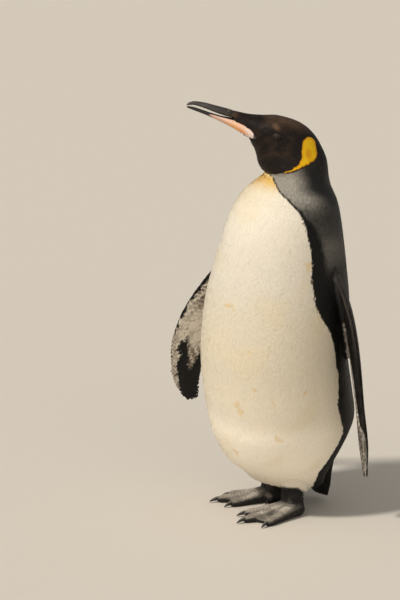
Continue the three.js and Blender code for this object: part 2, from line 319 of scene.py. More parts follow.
CREAM = linear("#f2e9d7")          # belly feathers
WARM_CREAM = linear("#ecd9b0")     # upper breast under the orange, and the belly's middle
ORANGE = linear("#ecc067")         # the patch below the throat
CREASE_PAINTED_LIGHT = linear("#fbdd9e")         # its top, painted paler: painted light in the crease's shadow below the hood
STAIN = linear("#dcae4a")          # small soiled places on the belly
EAR = linear("#eaa90a")            # the patch behind the ear
EAR_PALE = linear("#f4c516")
EAR_DEEP = linear("#dd8f10")
BAND = linear("#0b0907")           # the black line round the white
FLANK = linear("#14100c")
SLATE = linear("#1f1d1c")          # back
SLATE_PALE = linear("#454340")
SILVER = linear("#a39d92")         # sides of the neck
HOOD = linear("#170f0b")           # face and crown
# Brown for the crown and face: partly their own brown, partly painted highlight.
HOOD_BROWN_AND_HIGHLIGHT = linear("#4f3b2d")
FLIPPER_DARK = linear("#1a1715")   # above the flippers
FLIPPER_PAINTED_HIGHLIGHT = linear("#665d57")  # painted highlight on the left flipper's leading edge
BUFF = linear("#f3ebdf")           # under the flippers
BUFF_GREY = linear("#a59a84")
BUFF_BROWN = linear("#6b5c48")
BUFF_WORN = linear("#7a6a56")
STREAK = linear("#4b3d31")
MOTTLE = linear("#5d4d40")
UNDER_BLACK = linear("#0a0706")
SCALE_PALE = linear("#d2c7b7")     # top of the feet
SCALE_DARK = linear("#191512")
LID_PALE = linear("#43342b")       # the upper eyelid
LID_DARK = linear("#17100c")
HORN_BLACK = linear("#26221f")     # bill
HORN_GREY = linear("#55504e")
HORN_SLIT = linear("#070605")
# Painted highlight, streaked along the upper bill's outer part.
HORN_WORN = linear("#6a5a45")
HORN_HIGHLIGHT = linear("#86807a")
PLATE_FRONT = linear("#dcb09a")    # the coloured plate of the lower bill
PLATE_MIDDLE = linear("#f4ab58")
PLATE_REAR = linear("#fae0d6")
PLATE_DEEP = linear("#ee8f2e")
IRIS = linear("#3a2417")
EYE_RIM = linear("#1a0f09")
PUPIL = linear("#050303")
CLAW_DARK = linear("#1d1917")
# Painted highlight on the claws' upward-facing ridge.
CLAW_HIGHLIGHT = linear("#6b645c")

# The border of the white, as degrees round from the front at heights.
BORDER = [
    (57, 92), (72, 97), (104, 107), (138, 114), (161, 116), (183, 110), (217, 107), (243, 110),
    (276, 112), (314, 110), (349, 103), (379, 94), (407, 86), (453, 82), (483, 83), (514, 80),
    (543, 76), (568, 71), (588, 60), (606, 41), (617, 25), (622, 8),
]
# Width of the black band beside it, in millimetres at heights.
BAND_WIDTH = [(57, 30), (120, 40), (200, 60), (300, 70), (400, 46), (470, 27), (511, 24), (540, 18),
              (556, 8), (570, 5), (590, 3.4), (620, 3.4)]
# How bright the white is painted at heights: painted light bounced from the floor low on the belly,
# painted shade across its middle, and brighter again on the breast.
WHITE_PAINTED_LIGHT = [(60, 1.08), (110, 1.13), (165, 1.1), (200, 0.93), (290, 0.79), (400, 0.79),
             (480, 0.85), (560, 0.97)]
# The hood's lower edge, as height at places forward of the neck's axis.
HOOD_EDGE = [(-60, 668), (-30, 664), (-16, 655), (-4, 644), (8, 637), (20, 632.5), (32, 628.5),
             (45, 624), (60, 619), (80, 615)]
# The patch behind the ear: discs along it as (forward of the neck's axis, height, radius).
EAR_PATCH = [(-15, 673, 13.5), (-14.5, 661, 15), (-7, 650, 8.5), (6, 639.5, 2.6), (20, 632.5, 1.2),
             (33, 628.5, 0.7)]
# Brown places on the face, most of them painted highlight: on the brow above the eye, the
# brightest, and on the face's soft folds; one is a brown patch at the bill's base. As (forward of
# the neck's axis, height, half length, half height, share).
FACE_BROWN_AND_HIGHLIGHTS = [
    (43, 707, 8, 10, 1.0), (113, 729, 11, 8, 0.55), (30, 716, 12, 7, 0.5), (60, 683, 14, 11, 0.25),
    (46, 660, 18, 8, 0.2), (20, 689, 11, 6, 0.16), (62, 655, 10, 7, 0.14), (24, 662, 11, 6, 0.14),
]
# How bright the silver of the neck is at heights, with a painted sheen in silver across the upper
# back from about 482 to 526, and from where round it fades out, in degrees.
SILVER_AND_SHEEN_SHARE = [(455, 0), (482, 0.26), (503, 0.36), (526, 0.14), (553, 0.09), (568, 0.26),
                (584, 0.8), (602, 1)]
SILVER_FADE = [(500, 103), (545, 95), (585, 80), (602, 62)]
# Stains on the belly, as (left, forward, height, radius).
STAINS = [
    (26, 118, 404, 5), (34, 117, 400, 4), (86, 101, 260, 5), (108, 77, 234, 5), (134, 27, 251, 5),
    (50, 117, 225, 6), (58, 114, 212, 5), (116, 8, 477, 8), (25, 98, 127, 5), (103, 65, 165, 5),
    (-20, 128, 330, 4), (10, 120, 250, 4), (70, 108, 330, 4),
]
# Under the flippers, by row from the root. Places across run from -1, the trailing edge, to 1.
DARK_END_FRONT = [(5, 0.62), (6.1, 0.68), (6.7, 1.2)]
TONGUE_REAR = [(4.4, -1.3), (4.9, -0.9), (5.0, -0.42), (5.6, -0.24), (5.7, -0.2)]
TONGUE_FRONT = [(4.4, 0.12), (4.9, 0.03), (5.3, -0.03), (5.7, -0.2)]
EDGE_PATCHES = [(1.2, 2.7), (2.9, 3.45), (3.65, 4.05)]
EDGE_PATCH_START = [(1.2, 0.87), (2.6, 0.8), (2.9, 0.87)]
LEFT_MARGIN = [(0, -0.9), (1.2, -0.25), (2.2, -0.1), (2.9, -0.15), (3.5, -0.08), (5.3, 0.1),
               (5.6, 0.8), (7, 0.88)]


def body_colours(t, angle, points):
    """Plumage colours on the trunk, neck and head, for points in millimetres."""
    ring = through(BODY, t)
    z = points[:, 2]
    phi = np.degrees(np.abs(wrapped(angle)))
    reach = np.hypot((ring[:, 0] - ring[:, 2]) / 2 * np.sin(angle), ring[:, 4] * np.cos(angle))
    clumps = wobble(points, 26, 3) * 1.1 + wobble(points, 5, 4) * 0.4
    clumps = clumps * (1 - 0.75 * smooth(z, 350, 440))
    arc = (phi - table(BORDER, z)) * math.pi / 180 * np.maximum(reach, 30) + clumps
    g, left, _ = head_plane(points)

    # The white, with painted light low on the belly and painted shade across its middle, warmer at
    # its middle and top, with the orange patch, its top painted paler against the crease's shadow,
    # and the stains.
    colours = CREAM * table(WHITE_PAINTED_LIGHT, z)[:, None]
    colours = over(colours, WARM_CREAM, 0.45 * smooth(z, 560, 604) * until(phi, 20, 82))
    colours = over(colours, WARM_CREAM, 0.24 * until(np.abs(z - 300), 60, 150))
    colours = over(colours, WARM_CREAM * 0.93, 0.28 * smooth(wobble(points, 60, 9), 0.1, 1.2))
    orange = smooth(z + 2 * wobble(points, 16, 12), 591, 615) * until(phi, 38, 66)
    # The orange's top is painted paler, as painted light where the crease below the hood lies in
    # shadow.
    colours = over(colours, over(ORANGE, CREASE_PAINTED_LIGHT, smooth(z, 612, 621)), 0.95 * orange)
    ragged = 4 * wobble(points, 6, 40)
    for x, forward, height, radius in STAINS:
        away = np.linalg.norm(points - SHIFT - (x, -forward, height), axis=1) + ragged
        colours = over(colours, STAIN, 0.4 * until(away, radius * 0.1, radius + 3))

    # Behind the white: the black band, then slate, silver at the sides of the neck, and a painted
    # sheen in silver on the upper back.
    back = over(SLATE, SLATE_PALE, 0.26 * smooth(wobble(points, 40, 21), -0.6, 1.4))
    fade = table(SILVER_FADE, z)
    silver_and_sheen = table(SILVER_AND_SHEEN_SHARE, z) * (1 - smooth(phi, fade, fade + 44))
    silver_and_sheen = silver_and_sheen * (1 - 0.4 * smooth(z, 632, 650))
    back = over(back, SILVER, np.clip(silver_and_sheen * (0.95 + 0.07 * wobble(points, 4, 22)), 0, 1))
    back = over(back, HOOD, smooth(z, 585, 650) * smooth(phi, 112, 150))
    width = table(BAND_WIDTH, z)
    back = over(back, BAND, 1 - smooth(arc + 1.5 * clumps, width * 0.8, width * 1.4 + 0.6))
    colours = over(colours, back, smooth(arc, -0.8, 0.8))

    # The hood, with a painted highlight in brown over the upward-facing crown, soft brown mottles
    # painted as the light on the face's relief, and painted highlights and a brown patch in small
    # places on the face.
    crown_highlight = smooth(z - 0.12 * g, 686, 712) * until(g, 44, 72)
    crown_highlight = crown_highlight * (0.7 + 0.3 * wobble(points, 18, 31))
    hood = over(HOOD, HOOD_BROWN_AND_HIGHLIGHT, np.clip(crown_highlight, 0, 1))
    hood = over(hood, HOOD_BROWN_AND_HIGHLIGHT, 0.22 * smooth(wobble(points, 12, 32), 0, 1.4) * smooth(z, 640, 665))
    hood = over(hood, HOOD_BROWN_AND_HIGHLIGHT, 0.16 * smooth(wobble(points, 4.5, 33), 0.3, 1.3))
    ragged = 0.2 * wobble(points, 6, 34)
    for ahead, height, long, high, share in FACE_BROWN_AND_HIGHLIGHTS:
        away = np.hypot((g - ahead) / long, (z - height) / high) + ragged
        hood = over(hood, HOOD_BROWN_AND_HIGHLIGHT * (1 + share), share * (1 - smooth(away, 0, 1.15)))
    edge = z - table(HOOD_EDGE, g) + 0.5 * clumps
    colours = over(colours, hood, smooth(edge, -0.8, 0.8))

    # The ear patch, with its thin black line.
    near = np.full(len(z), 1e3)
    for a, b in zip(EAR_PATCH, EAR_PATCH[1:]):
        run = np.array(b[:2]) - a[:2]
        share = np.clip(((g - a[0]) * run[0] + (z - a[1]) * run[1]) / (run @ run), 0, 1)
        away = np.hypot(g - a[0] - share * run[0], z - a[1] - share * run[1])
        near = np.minimum(near, away - (a[2] + share * (b[2] - a[2])))
    near = near + 0.3 * clumps
    side = smooth(np.abs(left), 12, 20)
    line = (1 - smooth(near, 2.2, 3.4)) * side
    colours = over(colours, BAND, line * smooth(z, 622, 630))
    ear = over(EAR, EAR_PALE, smooth(-near, 0.5, 5))
    ear = over(ear, EAR_DEEP, 0.75 * until(np.hypot(g + 12, (z - 659) * 0.7), 2, 9))
    return over(colours, ear, (1 - smooth(near, -0.6, 0.6)) * side)


def under_black(t, across, clumps, points):
    """1 on the black under the right flipper: its end, patches by the front edge and a rim."""
    # The dark end is two lobes with a pale tongue between them, and the front edge stays pale.
    ragged = 0.09 * clumps + 0.06 * wobble(points, 2.5, 54)
    front, rear, fore = (table(rows, t) for rows in (DARK_END_FRONT, TONGUE_REAR, TONGUE_FRONT))
    tongue = smooth(across + ragged, rear - 0.07, rear + 0.07)
    tongue = tongue * until(across - ragged, fore - 0.07, fore + 0.07)
    tongue = tongue * until(t + ragged, 5.45, 5.75)
    lobes = smooth(t + 1.6 * ragged, 4.1, 4.32) * until(across - ragged, front - 0.05, front + 0.05)
    freckles = 0.75 * smooth(wobble(points, 2.2, 55), 0.1, 0.9) * smooth(t, 4.6, 5.2)
    end = lobes * (1 - tongue * (1 - freckles))
    patches = np.zeros(len(t))
    for first, last in EDGE_PATCHES:
        patches += smooth(t, first - 0.05, first + 0.1) * until(t, last - 0.05, last + 0.1)
    inner = table(EDGE_PATCH_START, t)
    patches = patches * smooth(across + 0.08 * clumps, inner, inner + 0.07)
    rim = smooth(across, 0.965, 0.985) * until(t, 5.8, 6.6)
    return np.clip(np.maximum.reduce([end, patches, rim]), 0, 1)


def flipper_colours(t, angle, points, side):
    """Slate above, buff and black below, with a pale trailing edge."""
    right = side == "right"
    below = np.cos(angle) * (1 if right else -1)
    across = np.sin(angle)
    clumps = wobble(points, 9, 51) * 0.6 + wobble(points, 3.5, 52) * 0.4
    dark = over(FLIPPER_DARK, SLATE_PALE, 0.35 * smooth(clumps, 0, 1.4))

    pale = over(BUFF, BUFF_GREY, 0.5 * smooth(clumps, 0, 1.0))
    pale = over(pale, BUFF_BROWN, 0.4 * smooth(wobble(points, 4, 53), 0.45, 1.2))
    streaks = until(t, 2.3, 3.1) * smooth(np.sin(across * 8 - t * 3.1 + 1.8 * clumps), -0.2, 0.7)
    pale = over(pale, STREAK, 0.7 * streaks)
    mottles = until(t, 2.4, 3.6)
    pale = over(pale, MOTTLE, 0.8 * mottles * smooth(wobble(points, 5, 56), -0.7, 0.7))
    worn = np.maximum(0.6 * smooth(across, 0.55, 0.8) * smooth(t, 3.0, 4.0),
                      0.9 * smooth(t, 4.2, 4.9) * until(across, 0.2, 0.4))
    pale = over(pale, BUFF_WORN, worn * smooth(wobble(points, 3, 57), -0.9, 0.5))
    if right:
        pale = over(pale, UNDER_BLACK, under_black(t, across, clumps, points))
    else:
        pale = pale * (1 - smooth(t, 5.2, 5.6) * (0.62 + 0.12 * clumps))[:, None]
    colours = over(dark, pale, smooth(below, -0.02, 0.12))
    if not right:
        # Dark over the front of the underside, with a painted highlight along the leading edge.
        margin = table(LEFT_MARGIN, t) + 0.06 * clumps
        colours = over(colours, dark, smooth(across, margin, margin + 0.06))
        leading_edge_highlight = np.exp(-((across - 0.9) / 0.07) ** 2) * smooth(t, 0.2, 0.8) * until(t, 1.6, 3.6)
        colours = over(colours, FLIPPER_PAINTED_HIGHLIGHT, 0.5 * leading_edge_highlight)
    white_line = smooth(-across, 0.955, 0.985) * until(t, 5.5, 6.3)
    return over(colours, CREAM * 0.8, 0.8 * white_line)


def leg_hem(angle):
    """The height at which a leg's feathers end, lowest behind."""
    return 44.5 + 15 * smooth(np.cos(angle), -0.5, 0.5)


def leg_colours(t, angle, points):
    """Cream, black behind, and dark as the foot's scales below the hem."""
    colours = over(CREAM * 0.92, FLANK, 0.85 * smooth(-np.cos(angle), 0.7, 0.98))
    return over(colours, SCALE_DARK, smooth(leg_hem(angle) - points[:, 2], -2.5, 2.5))


def tail_colours(t, angle, points):
    return over(FLANK, SLATE, 0.5 * smooth(wobble(points, 8, 61), -0.5, 1))


def toe_places(points):
    """How far points are from the nearest toe's axis, how far along it, and which way it runs."""
    near, along = np.full(len(points), 1e3), np.zeros(len(points))
    ways = np.zeros((len(points), 2))
    for side, (_, _, _, spread) in FEET.items():
        for toe, (root, end) in TOES.items():
            start = on_foot(side, *root, 0)[:2]
            run = on_foot(side, end[0], end[1] * (spread if toe == "outer" else 1), 0)[:2] - start
            reach = np.linalg.norm(run)
            share = np.clip((points[:, :2] - start) @ run / reach ** 2, 0, 1)
            away = np.linalg.norm(points[:, :2] - start - share[:, None] * run, axis=1)
            nearer = away < near
            near[nearer], along[nearer] = away[nearer], (share * reach)[nearer]
            ways[nearer] = run / reach
    return near, along, ways


def foot_colours(points, up):
    """Dusty grey scales on top of the toes, dark between, under and round the ankle."""
    z = points[:, 2]
    near, along, _ = toe_places(points)
    toe = until(near, 4.5, 9.0)
    dust = smooth(up, 0.1, 0.75) * until(z, 19, 32) * (0.45 + 0.55 * toe)
    dust = dust * (0.3 + 0.7 * smooth(along, 2, 26)) * (1 - 0.35 * toe * smooth(along, 45, 80))
    creases = np.cos(along * 2 * math.pi / TOE_CREASE + wobble(points, 9, 73))
    dust = dust * (1 - 0.4 * toe * smooth(creases, 0.6, 1)) * (0.85 + 0.2 * wobble(points, 7, 71))
    colours = over(SCALE_DARK, SCALE_PALE, np.clip(dust, 0, 1))
    ankle = smooth(z, 16, 26) * until(z, 34, 46) * 0.07 * smooth(wobble(points, 8, 72), -0.4, 0.9)
    return over(colours, SCALE_PALE, ankle)


# ---- Finishes ------------------------------------------------------------------------------


NOISE, MATH, RANGE = "ShaderNodeTexNoise", "ShaderNodeMath", "ShaderNodeMapRange"


def mottle(tree, scale, detail, low, high):
    """Noise with scale blotches to the metre: its height, and a shade from low to high by it."""
    place = add_node(tree, "ShaderNodeTexCoord").outputs["Object"]
    noise = add_node(tree, NOISE, {"Scale": scale, "Detail": detail}, {"Vector": place})
    shade = add_node(tree, RANGE, {1: 0.3, 2: 0.7, 3: low, 4: high}, {0: noise.outputs["Fac"]})
    return noise.outputs["Fac"], shade.outputs[0]


def paint_finish(tree, shader, shade, height=None, strength=0.0, depth=0.0):
    """Colours a finish by its piece's markings times a shade, and raises it where height says."""
    colour = add_node(tree, "ShaderNodeVertexColor", {"layer_name": "plumage"})
    scaled = add_node(tree, "ShaderNodeVectorMath", {"operation": "SCALE"},
                      {0: colour.outputs["Color"], "Scale": shade})
    tree.links.new(scaled.outputs[0], shader.inputs["Base Color"])
    if height:
        bump = add_node(tree, "ShaderNodeBump", {"Strength": strength, "Distance": depth},
                        {"Height": height})
        tree.links.new(bump.outputs[0], shader.inputs["Normal"])


def feather_finish(name, roughness, sheen, wear, relief):
    """Overlapping vanes: colour from the markings, a quill line, barbs that slant off it."""
    made, tree, shader = material(name, Roughness=roughness, Sheen_Weight=sheen,
                                  Sheen_Roughness=0.45, Specular_IOR_Level=0.22)
    vane = add_node(tree, "ShaderNodeUVMap", {"uv_map": "Vane"})
    split = add_node(tree, "ShaderNodeSeparateXYZ", links={0: vane.outputs[0]})
    middle = add_node(tree, MATH, {"operation": "SUBTRACT", 1: 0.5}, {0: split.outputs[0]})
    off = add_node(tree, MATH, {"operation": "ABSOLUTE"}, {0: middle.outputs[0]})
    slant = add_node(tree, MATH, {"operation": "MULTIPLY_ADD", 1: -0.55},
                     {0: off.outputs[0], 2: split.outputs[1]})
    # Real barbs are 0.3 mm apart, too fine to show, so they are drawn about 1 mm apart.
    barbs = add_node(tree, MATH, {"operation": "MULTIPLY", 1: 95.0}, {0: slant.outputs[0]})
    wave = add_node(tree, MATH, {"operation": "SINE"}, {0: barbs.outputs[0]}).outputs[0]
    quill = add_node(tree, RANGE, {1: 0.02, 2: 0.07, 3: 1.0, 4: 0.0}, {0: off.outputs[0]})
    # Blotches of wear about 2 mm across.
    _, shade = mottle(tree, 480.0, 3.0, 1 - wear, 1 + wear)
    line = add_node(tree, MATH, {"operation": "MULTIPLY_ADD", 1: -0.10},
                    {0: quill.outputs[0], 2: shade})
    shade = add_node(tree, MATH, {"operation": "MULTIPLY_ADD", 1: 0.035},
                     {0: wave, 2: line.outputs[0]})
    paint_finish(tree, shader, shade.outputs[0], wave, relief, 0.0003)
    return made


def foot_finish():
    """Reptile-like foot skin: dry scales 2.5 mm across with dark creases, wrinkled at the ankle."""
    made, tree, shader = material("dry_scaly_foot_skin", Roughness=0.62, Specular_IOR_Level=0.4)
    place = add_node(tree, "ShaderNodeTexCoord").outputs["Object"]
    # Scales 2.5 mm across: 400 to the metre.
    cells = add_node(tree, "ShaderNodeTexVoronoi", {"feature": "DISTANCE_TO_EDGE", "Scale": 400.0},
                     {"Vector": place})
    crease = add_node(tree, RANGE, {1: 0.0, 2: 0.16, 3: 0.35, 4: 1.0},
                      {0: cells.outputs["Distance"]})
    _, speckle = mottle(tree, 1400.0, 3.0, 0.7, 1.25)
    both = add_node(tree, MATH, {"operation": "MULTIPLY"}, {0: crease.outputs[0], 1: speckle})
    # Wrinkles round the ankle, 3.5 mm apart up it.
    ring = add_node(tree, "ShaderNodeTexWave",
                    {"bands_direction": "Z", "Scale": 45.0, "Distortion": 3.5, "Detail": 2.0,
                     "Detail Scale": 2.0}, {"Vector": place})
    up = add_node(tree, "ShaderNodeSeparateXYZ", links={0: place})
    ankle = add_node(tree, RANGE, {1: 0.016, 2: 0.026, 3: 0.0, 4: 1.0}, {0: up.outputs[2]})
    folds = add_node(tree, MATH, {"operation": "MULTIPLY"},
                     {0: ring.outputs["Fac"], 1: ankle.outputs[0]})
    height = add_node(tree, MATH, {"operation": "MULTIPLY_ADD", 1: 2.2},
                      {0: folds.outputs[0], 2: both.outputs[0]})
    paint_finish(tree, shader, both.outputs[0], height.outputs[0], 0.8, 0.0007)
    return made


def grained(name, mottling, relief=None, **settings):
    """A finish in its piece's own markings, mottled, and raised by a relief if it has one."""
    made, tree, shader = material(name, **settings)
    height, shade = mottle(tree, *mottling)
    if relief:
        paint_finish(tree, shader, shade, height, *relief)
    else:
        paint_finish(tree, shader, shade)
    return made


# Cream contour feathers: soft, matt, each with a faint quill.
CREAM_FEATHERS = feather_finish("cream_contour_feathers", 0.75, 0.05, 0.05, 0.25)
# Slate and black contour feathers: sleek and oily, so they take a soft highlight.
DARK_FEATHERS = feather_finish("oiled_black_contour_feathers", 0.48, 0.0, 0.18, 0.3)
# Skin under the plumage, in its colours, with tufts of down about 1.5 mm across.
DOWNY_SKIN = grained("downy_skin", (650.0, 4.0, 0.72, 0.96), (0.5, 0.0006), Roughness=0.8)
FOOT_SKIN = foot_finish()
# The small raised scales of the feet: dry and dull, with grit about 0.7 mm across.
FOOT_SCALES = grained("dry_foot_scales", (1400.0, 3.0, 0.8, 1.2), Roughness=0.6,
                      Specular_IOR_Level=0.35)
# Keratin lets a little light in, so its dark is soft.
KERATIN = {"Coat_Roughness": 0.2, "Subsurface_Weight": 0.06, "Subsurface_Scale": 1.0,
           "Subsurface_Radius": (0.002, 0.001, 0.0006)}
# Bill keratin, worn satin, with growth grain about 2 mm long.
BILL_HORN = grained("bill_keratin", (520.0, 5.0, 0.86, 1.1), (0.35, 0.0003), Roughness=0.38,
                    Coat_Weight=0.15, **KERATIN)
# Claw keratin, harder and more worn.
CLAW_HORN = grained("claw_keratin", (900.0, 5.0, 0.86, 1.1), (0.35, 0.0004), Roughness=0.55,
                    Coat_Weight=0.0, **KERATIN)
# A wet eye under a clear cornea, its iris fibres about 0.4 mm apart.
WET_EYE = grained("wet_eye", (2400.0, 2.0, 0.75, 1.25), Roughness=0.12, Coat_Weight=0.3,
                  Coat_Roughness=0.03, Specular_IOR_Level=0.25)

# ---- Places on the bird: which stretch of it a point belongs to ----------------------------

ON_FLIPPER = {side: flipper_surface(side) for side in FLIPPERS}
ON_LEG = {side: leg_surface(side) for side in FEET}
LAST_TAIL, LAST_LEG, LAST_FLIPPER = len(TAIL) - 1, len(LEG) - 1, len(FLIPPER_THICK) - 1
STRETCHES = [("body", on_body, TOP_ROW), ("tail", on_tail, LAST_TAIL)]
STRETCHES += [(f"flipper_{side}", ON_FLIPPER[side], LAST_FLIPPER) for side in FLIPPERS]
STRETCHES += [(f"leg_{side}", ON_LEG[side], LAST_LEG) for side in FEET]
FOOT = len(STRETCHES)  # the label of a foot, which comes after the stretches


def colours_on(stretch, t, angle, points):
    if stretch == "body":
        return body_colours(t, angle, points)
    if stretch == "tail":
        return tail_colours(t, angle, points)
    if stretch.startswith("flipper"):
        return flipper_colours(t, angle, points, stretch.split("_")[1])
    return leg_colours(t, angle, points)


def read(items, name, width, kind=float):
    """One property of a mesh's items, as an array with a row for each item."""
    values = np.empty(len(items) * width, kind)
    items.foreach_get(name, values)
    return values.reshape(-1, width)


def tree_of(points):
    tree = KDTree(len(points))
    for i, point in enumerate(points):
        tree.insert(point, i)
    tree.balance()
    return tree


def mesh_samples(mesh, count, seed, faces=None):
    """Random points spread evenly over a mesh's triangles, in metres, and their normals."""
    rng = np.random.default_rng(seed)
    mesh.calc_loop_triangles()
    corners = read(mesh.loop_triangles, "vertices", 3, int)
    places = read(mesh.vertices, "co", 3)
    if faces is not None:
        corners = corners[faces(places[corners].mean(axis=1))]
    a, b, c = (places[corners[:, k]] for k in range(3))
    normal = np.cross(b - a, c - a)
    area = np.linalg.norm(normal, axis=1)
    chosen = rng.choice(len(area), size=count, p=area / area.sum())
    u, v = rng.random((2, count))
    flip = u + v > 1
    u, v = np.where(flip, 1 - u, u), np.where(flip, 1 - v, v)
    points = a[chosen] + (b - a)[chosen] * u[:, None] + (c - a)[chosen] * v[:, None]
    return points, unit(normal[chosen])


def place_finder():
    """A tree of sample points on every stretch, with the stretch, row and angle of each."""
    found = []
    for k, (name, surface, last) in enumerate(STRETCHES):
        rows, turns = (last * 14, 120) if name == "body" else (last * 16, 40)
        t, angle = (grid.ravel() for grid in np.meshgrid(
            np.linspace(0, last, rows), np.linspace(-math.pi, math.pi, turns, False)))
        found.append((surface(t, angle) * MM, np.full(len(t), k), t, angle))
    for side in FEET:
        points, _ = mesh_samples(SOLIDS[f"foot_{side}"].data, 6000, 8)
        nowhere = np.zeros(len(points))
        found.append((points, np.full(len(points), FOOT), nowhere, nowhere))
    points, *known = (np.concatenate(parts) for parts in zip(*found))
    return tree_of(points), *known


# ---- Skin ----------------------------------------------------------------------------------

FLESH = ["trunk", "neck", "head", "flipper_left", "flipper_right", "leg_left", "leg_right",
         "foot_left", "foot_right", "tail"]
SKIN_GRID = 3.3    # how far apart the skin's corners are, in millimetres
FINE_BELOW = 0.046  # metres, below which they are twice as close
SKIN_ROOM = 0.35   # the least gap in millimetres between skin and solids
# How far the skin lies inside the solids, in millimetres, and how often it is smoothed.
BODY_DEPTH = [(0, 1.9), (12, 1.9), (15, 1.7), (17, 1.2), (20, 0.9), (22, 0.5)]
OTHER_DEPTH = {"tail": 1.2, "leg": 2.0, "flipper": 0.9}
BODY_ROUNDS = [(0, 14), (13, 14), (16, 8), (20, 4), (22, 2)]
OTHER_ROUNDS = {"foot": 3, "tail": 4, "leg": 10, "flipper": 4}
# Loops of a lid from the opening outwards: half length, height above and below, how far off the
# ball.
LID_LOOPS = [(5.3, 0.9, 2.7, -0.5), (5.5, 1.2, 2.9, 0.5), (6.2, 2.6, 3.6, 0.95),
             (6.9, 4.2, 4.6, 0.75), (7.4, 5.3, 5.4, 0.1), (8.6, 7.4, 7.4, -2.4)]


def coat_depth(stretch, t):
    """How far the skin lies inside the solids, in millimetres."""
    if stretch == "body":
        return table(BODY_DEPTH, t)
    return np.full(len(t), OTHER_DEPTH[stretch.split("_")[0]])


def eye_frame(side):
    """The middle of an eyeball and the direction in which it looks, in metres."""
    skin, other = on_body(np.full(2, EYE_ROW), np.array([side, -side]) * math.pi / 2)
    outward = unit(skin - other)
    return (skin - outward * (EYE_RADIUS - EYE_BULGE)) * MM, outward


def eye_slant(outward):
    """Which way an eye's front corner points, and its upper lid."""
    turn = math.radians(HEAD_TURN)
    front = unit(np.array([-math.sin(turn), -math.cos(turn), 0.35]))
    front = unit(front - outward * (front @ outward))
    up = np.cross(outward, front)
    return front, up if up[2] > 0 else -up


def eyelid(bm, side, paint):
    """The lids: skin folded round an eye, pointed at its front corner, the upper half closed."""
    middle, outward = eye_frame(side)
    front, up = eye_slant(outward)
    loops = []
    for long, high, low, rise in LID_LOOPS:
        made = bmesh.ops.create_circle(bm, segments=48, radius=1)["verts"]
        for vert in made:
            angle = math.atan2(vert.co.y, vert.co.x)
            ahead = math.cos(angle) * long * (1 + 0.12 * max(0.0, math.cos(angle)) ** 8)
            above = math.sin(angle) * (high if angle > 0 else low)
            ball = math.sqrt(max(EYE_RADIUS ** 2 - ahead ** 2 - above ** 2, 16.0))
            vert.co = middle + (front * ahead + up * above + outward * (ball + rise)) * MM
            share = smooth(above, 0.7, 1.5) * until(above, 3.4, 4.6)
            vert[paint] = (*mix(LID_DARK, LID_PALE, share), 1)
        loops.append(list({e for v in made for e in v.link_edges}))
    for a, b in zip(loops, loops[1:]):
        bmesh.ops.bridge_loops(bm, edges=a + b)


def neighbours_mean(values, edges, degree):
    """The mean of each vertex's neighbours."""
    total = np.zeros_like(values)
    for k in range(values.shape[1]):
        total[:, k] = (np.bincount(edges[:, 0], values[edges[:, 1], k], len(values))
                       + np.bincount(edges[:, 1], values[edges[:, 0], k], len(values)))
    return total / degree[:, None]


def fused_flesh():
    """The flesh's solids fused into one mesh, finer at the feet."""
    bm = bmesh.new()
    for name in FLESH:
        bm.from_mesh(SOLIDS[name].data)
    bmesh.ops.remove_doubles(bm, verts=bm.verts, dist=1e-6)
    rough = bpy.data.meshes.new("flesh")
    bm.to_mesh(rough)
    bm.free()
    holder = link(bpy.data.objects.new("flesh", rough))
    fuse = holder.modifiers.new("fuse", "REMESH")
    fuse.mode = "VOXEL"
    fuse.voxel_size = SKIN_GRID * MM
    graph = bpy.context.evaluated_depsgraph_get()
    fused = bpy.data.meshes.new_from_object(holder.evaluated_get(graph))
    bpy.data.objects.remove(holder)
    bm = bmesh.new()
    bm.from_mesh(fused)
    low = [f for f in bm.faces if f.calc_center_median().z < FINE_BELOW]
    bmesh.ops.subdivide_edges(bm, edges=list({e for f in low for e in f.edges}), cuts=1,
                              use_grid_fill=True)
    mesh = bpy.data.meshes.new("skin")
    bm.to_mesh(mesh)
    bm.free()
    return mesh


